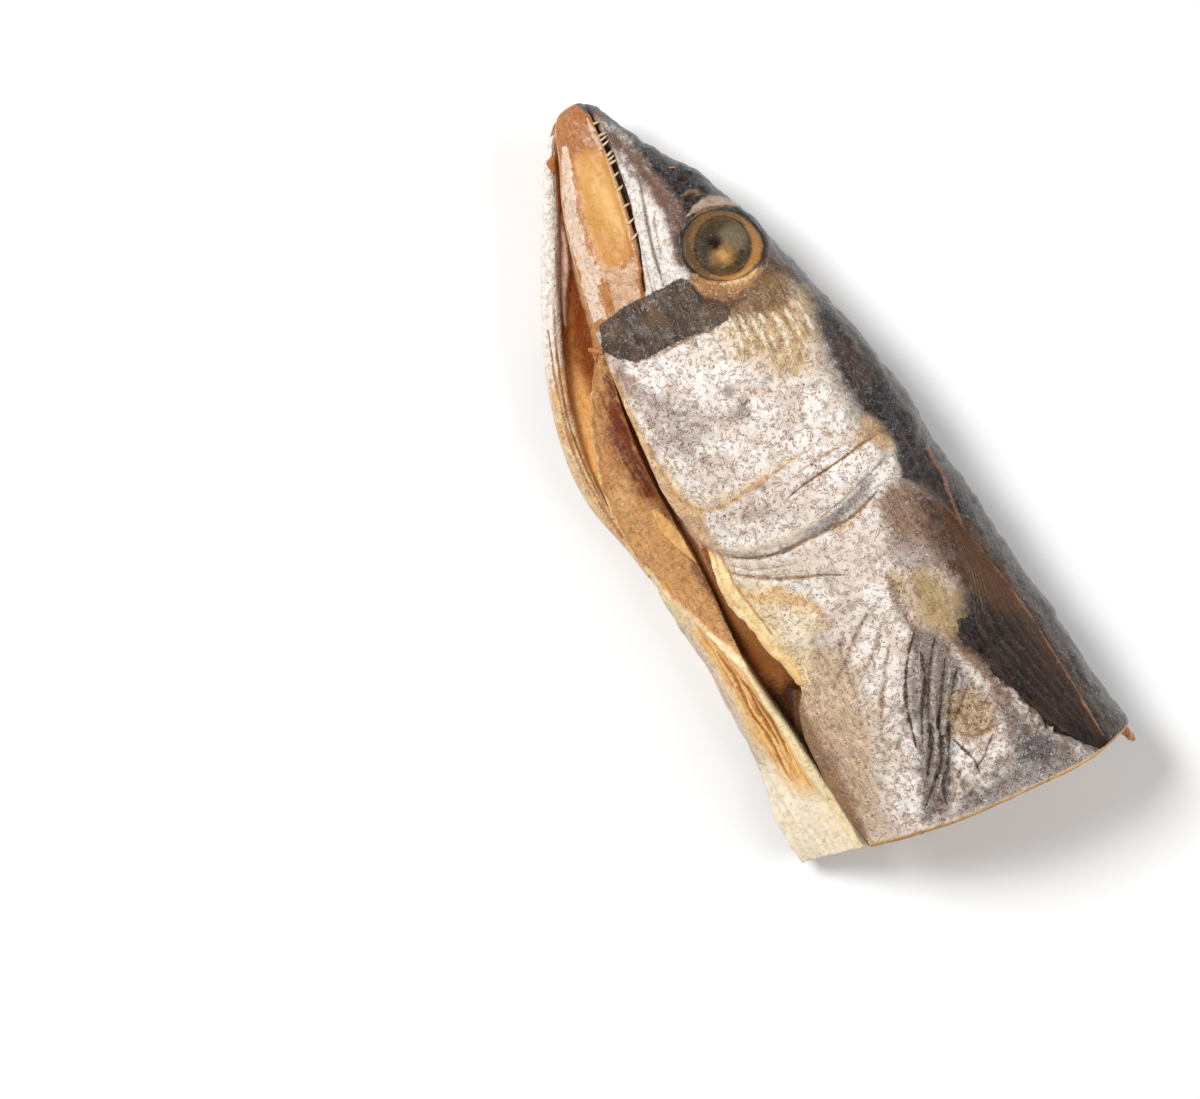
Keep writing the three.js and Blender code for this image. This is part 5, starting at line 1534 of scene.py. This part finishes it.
@dataclass
class SideFin:
    """The side fin, folded back along the flank with its rays side by side."""

    start: float = 128.0
    end: float = 203.4
    rows: int = 180
    columns: int = 90
    lift: float = 0.9
    rays: float = 17.0
    ray_height: float = 0.32
    ray_sharpness: float = 0.7
    ray_waver: float = 0.35
    waver_length: float = 20.0
    wavers: float = 4.0
    lower_rise: float = 0.08
    upper_rise: float = 0.06
    root_length: float = 8.0
    sunk: float = 0.4
    depth: float = 1.2
    swells: Bumps = Bumps(0.2, 16, 6)
    upper_edge: Profile = Profile((128, 25.4), (134, 27), (146, 29.4), (164, 31.9), (184, 32.6),
                                  (203.6, 32.4))
    lower_edge: Profile = Profile((128, 24.6), (140, 23.6), (150, 21), (157, 16.5), (162, 13.4),
                                  (168.7, 16.2), (175.4, 16.8), (178.4, 18.6), (186.5, 21.2), (192, 22.4),
                                  (198.3, 25.8), (203.6, 30))
    marks: tuple[Mark, ...] = (
        patch("fin_black", (48, 34, 27), ((150, 10), (153, 18), (160, 25), (170, 28), (186, 30), (208, 31.4),
            (208, 24), (185, 15), (165, 9)), soft=4, ragged=2, streak=(19, 15, 14)),
        patch("fin_warm", (98, 66, 42), ((128, 22), (134, 26), (146, 29), (164, 31), (158, 25), (142, 21)),
            soft=3, ragged=2, strength=0.6, streak=(66, 43, 28)),
        *strokes("fin_ray", (96, 68, 48), (0.2, 0.4, 0.5, 0.4, 0.2), (((140, 28.1), (150, 28.7), (165, 29.4),
            (185, 30.8), (200, 31.7)), ((140, 27), (150, 27.3), (165, 26.8), (185, 29), (200, 30.9)),
            ((142, 26), (150, 26), (165, 24.3), (185, 27.2), (200, 30.1)), ((145, 24.6), (152, 23.7),
            (165, 21.7), (185, 25.5), (198, 28.8)), ((150, 23), (156, 20.7), (165, 19.1), (180, 22.2),
            (195, 26.4))), soft=0.5, strength=0.4),
        stroke("fin_edge", (152, 106, 70), (0.4, 0.9, 1, 0.9, 0.6), ((130, 26), (140, 28.3), (156, 30.6),
            (176, 31.9), (202, 32)), soft=0.4, ragged=0.7, strength=0.9),
        stroke("fin_lower", (72, 52, 40), (0.4, 1.2, 1, 0.6), ((160, 14), (166, 15), (178, 18.4),
            (196, 24.4)), soft=0.5, strength=0.8),
    )

    finish: DriedFinish = DriedFinish(
        "fin_skin", base=(80, 52, 33), cloud=(63, 42, 29), flake=(94, 64, 42), fibre=(31, 22, 18),
        marks=marks, flake_share=0.3, fibre_share=0.8, fibre_stretch=0.05, fibre_scale=1.6, curl_share=0.1,
        crest_highlight_share=0.03, pinhole_share=0.2, curl_height=0.2, roughness=0.38, specular=0.25)

    def build(self) -> bpy.types.Object:
        """Makes the fin as one closed plate that follows the flank."""
        s = np.linspace(self.start, self.end, self.rows)[:, None]
        t = np.linspace(0, 1, self.columns)[None, :]
        low, high = self.lower_edge(s), self.upper_edge(s)
        d = low + (high - low) * t
        along = s + 0 * d
        true_s = FORM.true_s(along, d)
        values, relief = mark_values(self.marks, true_s, d)
        noise = Crumple(61)
        waver = self.ray_waver * noise(along / self.waver_length, t * self.wavers + 0 * along)
        rays = self.ray_height * np.abs(np.sin((t * self.rays + waver) * math.pi)) ** self.ray_sharpness
        edge = smooth(0, self.lower_rise, t) * smooth(1, 1 - self.upper_rise, t)
        edge = edge * smooth(self.start, self.start + self.root_length, s)
        grown = 1 - (0.5 + 0.35 * smooth(172, 148, s)) * smooth(0.6, 0.1, t)
        height = (self.sunk + self.lift + rays) * edge * grown - self.sunk
        height = height + relief + self.swells.over(noise, along, d)
        points = FORM.on_part(true_s, d, FORM.upper(along, d))
        out = grid_normals(points)
        top, under = points + out * height[..., None] * MM, points - out * self.depth * MM
        ring = np.concatenate([top, under[:, ::-1]], 1)
        values = {name: np.hstack([inside, inside[:, ::-1]]) for name, inside in values.items()}
        faces = loft_faces(self.rows, 2 * self.columns)
        return make_piece("side_fin", ring, faces, [self.finish.material()], values)


@dataclass
class CutFace:
    """The dried flesh at the slanting cut, which stands a little past the skin."""

    stand: float = 0.6
    depth: float = 0.5
    inset: float = 0.8
    columns: int = 110
    layers: int = 46
    flap_columns: int = 44
    flap_layers: int = 12
    margin: float = 0.3
    crumbs: Bumps = Bumps(0.2, 2.2, 4, layers=3)
    marks: tuple[Mark, ...] = (
        oval("cut_dark", (140, 88, 50), (21, 4), (13, 20), soft=5, ragged=3, strength=0.7),
        *(stroke(f"cut_layer_{k}", (146, 94, 52), 0.7, tuple((20.5 + 0.62 * r * math.sin(first + 0.3 * n),
            3 + r * math.cos(first + 0.3 * n)) for n in range(8)), soft=0.5, ragged=1, strength=0.8,
            relief=-0.5, edge=1.2) for k, (r, first) in enumerate(((9, 0.4), (13, -0.7), (17.5, 0.2),
            (22.5, -1), (27, 0), (13.5, 3), (19, 2.6), (24, 3.4)))),
        oval("cut_bone", (232, 212, 172), (20.5, 3), (5.2, 5.6), soft=0.4, ragged=0.5, relief=0.5, edge=1),
        oval("cut_marrow", (120, 78, 48), (20.5, 3), (2.6, 2.8), ragged=0.5, relief=-0.9, edge=1.6),
        stroke("cut_seam", (118, 72, 40), (0.4, 0.8, 0.4), ((20.5, 8.5), (21.5, 20), (21, 36)), soft=0.3,
            relief=-0.5, edge=1),
    )

    finish: DriedFinish = DriedFinish(
        "cut_flesh", base=(218, 172, 112), cloud=(186, 134, 78), flake=(232, 196, 144), fibre=(150, 100, 56),
        marks=marks, fibre_share=0.5, fibre_stretch=1.0, curl_share=0.4, crest_highlight_share=0.1, pinhole_share=0.5,
        roughness=0.42)

    def slab(self, d: Array, low: Array, high: Array, layers: int) -> Shape:
        """A closed slab on the cut between two heights.

        Args:
            d: places across the fish.
            low: its lower edge at each.
            high: its upper edge at each.
            layers: how many points it has from edge to edge.

        Returns:
            Its points in the fish's frame and its faces.
        """
        t = np.linspace(0, 1, layers)[None, :]
        z = low[:, None] + (high - low)[:, None] * t
        across = d[:, None] + 0 * z
        relief = mark_values(self.marks, z, across)[1] + self.crumbs.over(Crumple(71), z, across)
        rounded = np.sin(math.pi * t) ** 0.3
        front = FORM.cut(across) + self.stand * (0.4 + 0.6 * rounded) + relief * rounded
        back = FORM.cut(across) - self.depth
        s = np.hstack([front, back[:, -1:], back[:, :1]])
        z = np.hstack([z, z[:, -1:], z[:, :1]])
        return np.stack([s, across[:, :1] + 0 * s, z], -1).reshape(-1, 3), loft_faces(len(d), layers + 2)

    def build(self) -> bpy.types.Object:
        """Makes the body's slab and the two belly flaps' as one mesh."""
        length = FORM.length
        far, near, back = float(FORM.far(length)), float(FORM.near(length)), float(FORM.back(length))
        end = near + float(FORM.slit_depth(length))
        body_d = end + (back - self.margin - end) * np.sin(np.linspace(0, math.pi / 2, self.columns))
        far_d = np.linspace(far + self.margin, end, self.flap_columns)
        near_d = np.linspace(near + self.margin, end, self.flap_columns)
        at = lambda d: np.full(d.shape, length)
        body_low, body_high = FORM.lower(at(body_d), body_d), FORM.upper(at(body_d), body_d)
        low, high = FORM.lower(at(far_d), far_d), FORM.upper(at(near_d), near_d)
        bed = float(FORM.slit_bed(length)) * smooth(far, near, far_d)
        far_top = low + float(FORM.far_wall(length)) + bed - self.margin
        near_bottom = high - float(FORM.near_wall(length)) + self.margin
        parts = [self.slab(body_d, body_low + self.margin, body_high - self.inset, self.layers),
                 self.slab(far_d, low + self.margin, far_top, self.flap_layers),
                 self.slab(near_d, near_bottom, high - self.inset, self.flap_layers)]
        places, faces = joined(parts)
        values, _ = mark_values(self.marks, places[:, 2], places[:, 1])
        points = FORM.on_part(places[:, 0], places[:, 1], places[:, 2])
        return make_piece("cut_face", points, faces, [self.finish.material()], values)


@dataclass
class LooseBits:
    """Small scraps: a nub of skin at the cut, a torn tag at the throat, a lump on the jaw and a thread."""

    sides: int = 10
    steps: int = 14
    first_seed: int = 81
    jaw_rise: float = 5.2
    radii: tuple[tuple[float, ...], ...] = (
        (1.3, 1.3, 1.1, 0.5), (0.8, 0.9, 0.7, 0.4), (0.7, 0.7, 0.3), (0.8, 1.4, 0.8), (0.2, 0.22, 0.14))

    finish: DriedFinish = DriedFinish(
        "scrap_skin", base=(196, 130, 70), cloud=(170, 104, 50), flake=(220, 164, 102), fibre=(140, 84, 40),
        curl_share=0.4, crest_highlight_share=0.1, pinhole_share=0.4, roughness=0.4)

    def scrap(self, line: Sequence[tuple[float, float, float]], radii: Sequence[float],
              seed: int) -> Shape:
        """A lumpy bar through a few points of the fish's frame."""
        t, rough = np.linspace(0, 1, self.steps), np.linspace(0, 1, len(line))
        path = np.column_stack([np.interp(t, rough, axis) for axis in np.array(line, float).T])
        noise = Crumple(seed)
        path += 0.25 * np.column_stack([noise(t * 5, k + 0 * t) for k in (0.5, 3.5, 6.5)])
        return tube(path, np.interp(t, rough, radii) * (1 + 0.3 * noise(t * 7, 9.5 + 0 * t)), self.sides)

    def build(self) -> bpy.types.Object:
        """Makes the scraps as one mesh."""
        snout_z = float(FORM.upper(np.array(25.5), np.array(11.0)))
        jaw_z = float(FORM.far_height(np.array(8.4))) + self.jaw_rise
        nub = ((202.6, 38, 26), (204.6, 38.8, 26), (206.6, 39.4, 25.6), (207.8, 39.6, 25))
        tag = ((56.8, -27.2, 29), (56, -28.4, 28.4), (55.2, -29.4, 28), (54.6, -30, 27.6))
        tag_end = ((55.4, -28.6, 28), (57.2, -29.4, 27.4), (58.4, -29.8, 27))
        lump = ((7.6, -13.2, jaw_z), (9, -14.4, jaw_z), (11, -15, jaw_z - 0.4))
        thread = ((25.2, 10, snout_z), (25.8, 11.4, snout_z), (27, 12.2, snout_z - 0.6))
        lines = (nub, tag, tag_end, lump, thread)
        parts = [self.scrap(line, radii, self.first_seed + k)
                 for k, (line, radii) in enumerate(zip(lines, self.radii))]
        points, faces = joined(parts)
        return make_piece("loose_bits", points, faces, [self.finish.material()])


@dataclass(frozen=True)
class Softbox:
    """A square area light that faces the fish."""

    name: str
    place: tuple[float, float, float]
    size: float
    power: float

    def build(self) -> None:
        """Hangs the light."""
        light = bpy.data.lights.new(self.name, "AREA")
        light.size = self.size
        light.energy = self.power
        lamp = bpy.data.objects.new(self.name, light)
        lamp.location = self.place
        lamp.rotation_euler = (-Vector(self.place)).to_track_quat("-Z", "Y").to_euler()
        bpy.context.scene.collection.objects.link(lamp)


@dataclass
class Studio:
    """The floor, the lights and the camera."""

    key: Softbox = Softbox("key", (-0.38, 0.62, 1.08), 0.42, 13.5)
    fill: Softbox = Softbox("fill", (0.8, -0.5, 0.8), 0.9, 6.5)
    floor_half: float = 3.0
    floor_colour: tuple[float, float, float, float] = (0.94, 0.94, 0.94, 1)
    floor_roughness: float = 0.8
    floor_specular: float = 0.1
    aim_height: float = 30.0
    camera_height: float = 1.0
    frame_width: float = 300.0
    photo_middle: Point = (99.4, -52.5)
    camera_turn: float = -30.0
    sensor: float = 36.0
    world_light: float = 0.29

    def build(self) -> None:
        """Makes all of it."""
        self.floor()
        self.lights()
        self.camera()

    def floor(self) -> None:
        """A plain pale floor under the fish."""
        mesh = bpy.data.meshes.new("floor")
        h = self.floor_half
        mesh.from_pydata([(-h, -h, 0), (h, -h, 0), (h, h, 0), (-h, h, 0)], [], [(0, 1, 2, 3)])
        made = bpy.data.materials.new("floor_white")
        made.use_nodes = True
        shader = made.node_tree.nodes["Principled BSDF"]
        shader.inputs["Base Color"].default_value = self.floor_colour
        shader.inputs["Roughness"].default_value = self.floor_roughness
        shader.inputs["Specular IOR Level"].default_value = self.floor_specular
        mesh.materials.append(made)
        floor = bpy.data.objects.new("floor", mesh)
        bpy.context.scene.collection.objects.link(floor)

    def lights(self) -> None:
        """A soft key from the snout's side, a weaker fill and an even sky."""
        world = bpy.data.worlds.new("studio")
        world.use_nodes = True
        sky = world.node_tree.nodes["Background"]
        sky.inputs["Color"].default_value = (1, 1, 1, 1)
        sky.inputs["Strength"].default_value = self.world_light
        bpy.context.scene.world = world
        self.key.build()
        self.fill.build()

    def camera(self) -> None:
        """Looks straight down on the fish, with the photo's turn and framing."""
        data = bpy.data.cameras.new("camera")
        data.sensor_width = self.sensor
        data.lens = self.sensor * self.camera_height / (self.frame_width * MM)
        camera = bpy.data.objects.new("camera", data)
        s, d = self.photo_middle
        camera.location = Vector(FORM.on_part(np.array(s), np.array(d), np.array(self.aim_height)))
        camera.location.z += self.camera_height
        camera.rotation_euler = (0, 0, math.radians(self.camera_turn))
        bpy.context.scene.collection.objects.link(camera)
        bpy.context.scene.camera = camera
        bpy.context.scene.view_settings.view_transform = "Standard"


def main() -> None:
    """Builds the pieces in order."""
    logging.basicConfig(level=logging.INFO, format="%(name)s %(message)s")
    body = BodySkin()
    skin = DriedFinish("dried_skin", base=(244, 237, 229), cloud=(217, 202, 188), flake=(200, 172, 148),
                       fibre=(196, 172, 150), marks=body.marks, cloud_share=0.7, flake_share=0.45,
                       fibre_share=0.3, curl_share=0.85, roughness=0.3, bump=0.9, coat=0.06,
                       coat_roughness=0.15)
    flesh = DriedFinish("dried_flesh", base=(228, 148, 78), cloud=(240, 174, 104), flake=(206, 128, 66),
                        fibre=(168, 96, 42), marks=body.flesh_marks, curl_share=0.2, crest_highlight_share=0.05,
                        pinhole_share=0.3, roughness=0.34, coat=0.05, specular=0.2)
    body.build(skin.material(), flesh.material())
    for piece in (Eye(), Teeth(), FarJaw(), BellyStrip(), ShoulderRim(), SideFin(), CutFace(), LooseBits()):
        piece.build()
    Studio().build()


if __name__ == "__main__":
    main()
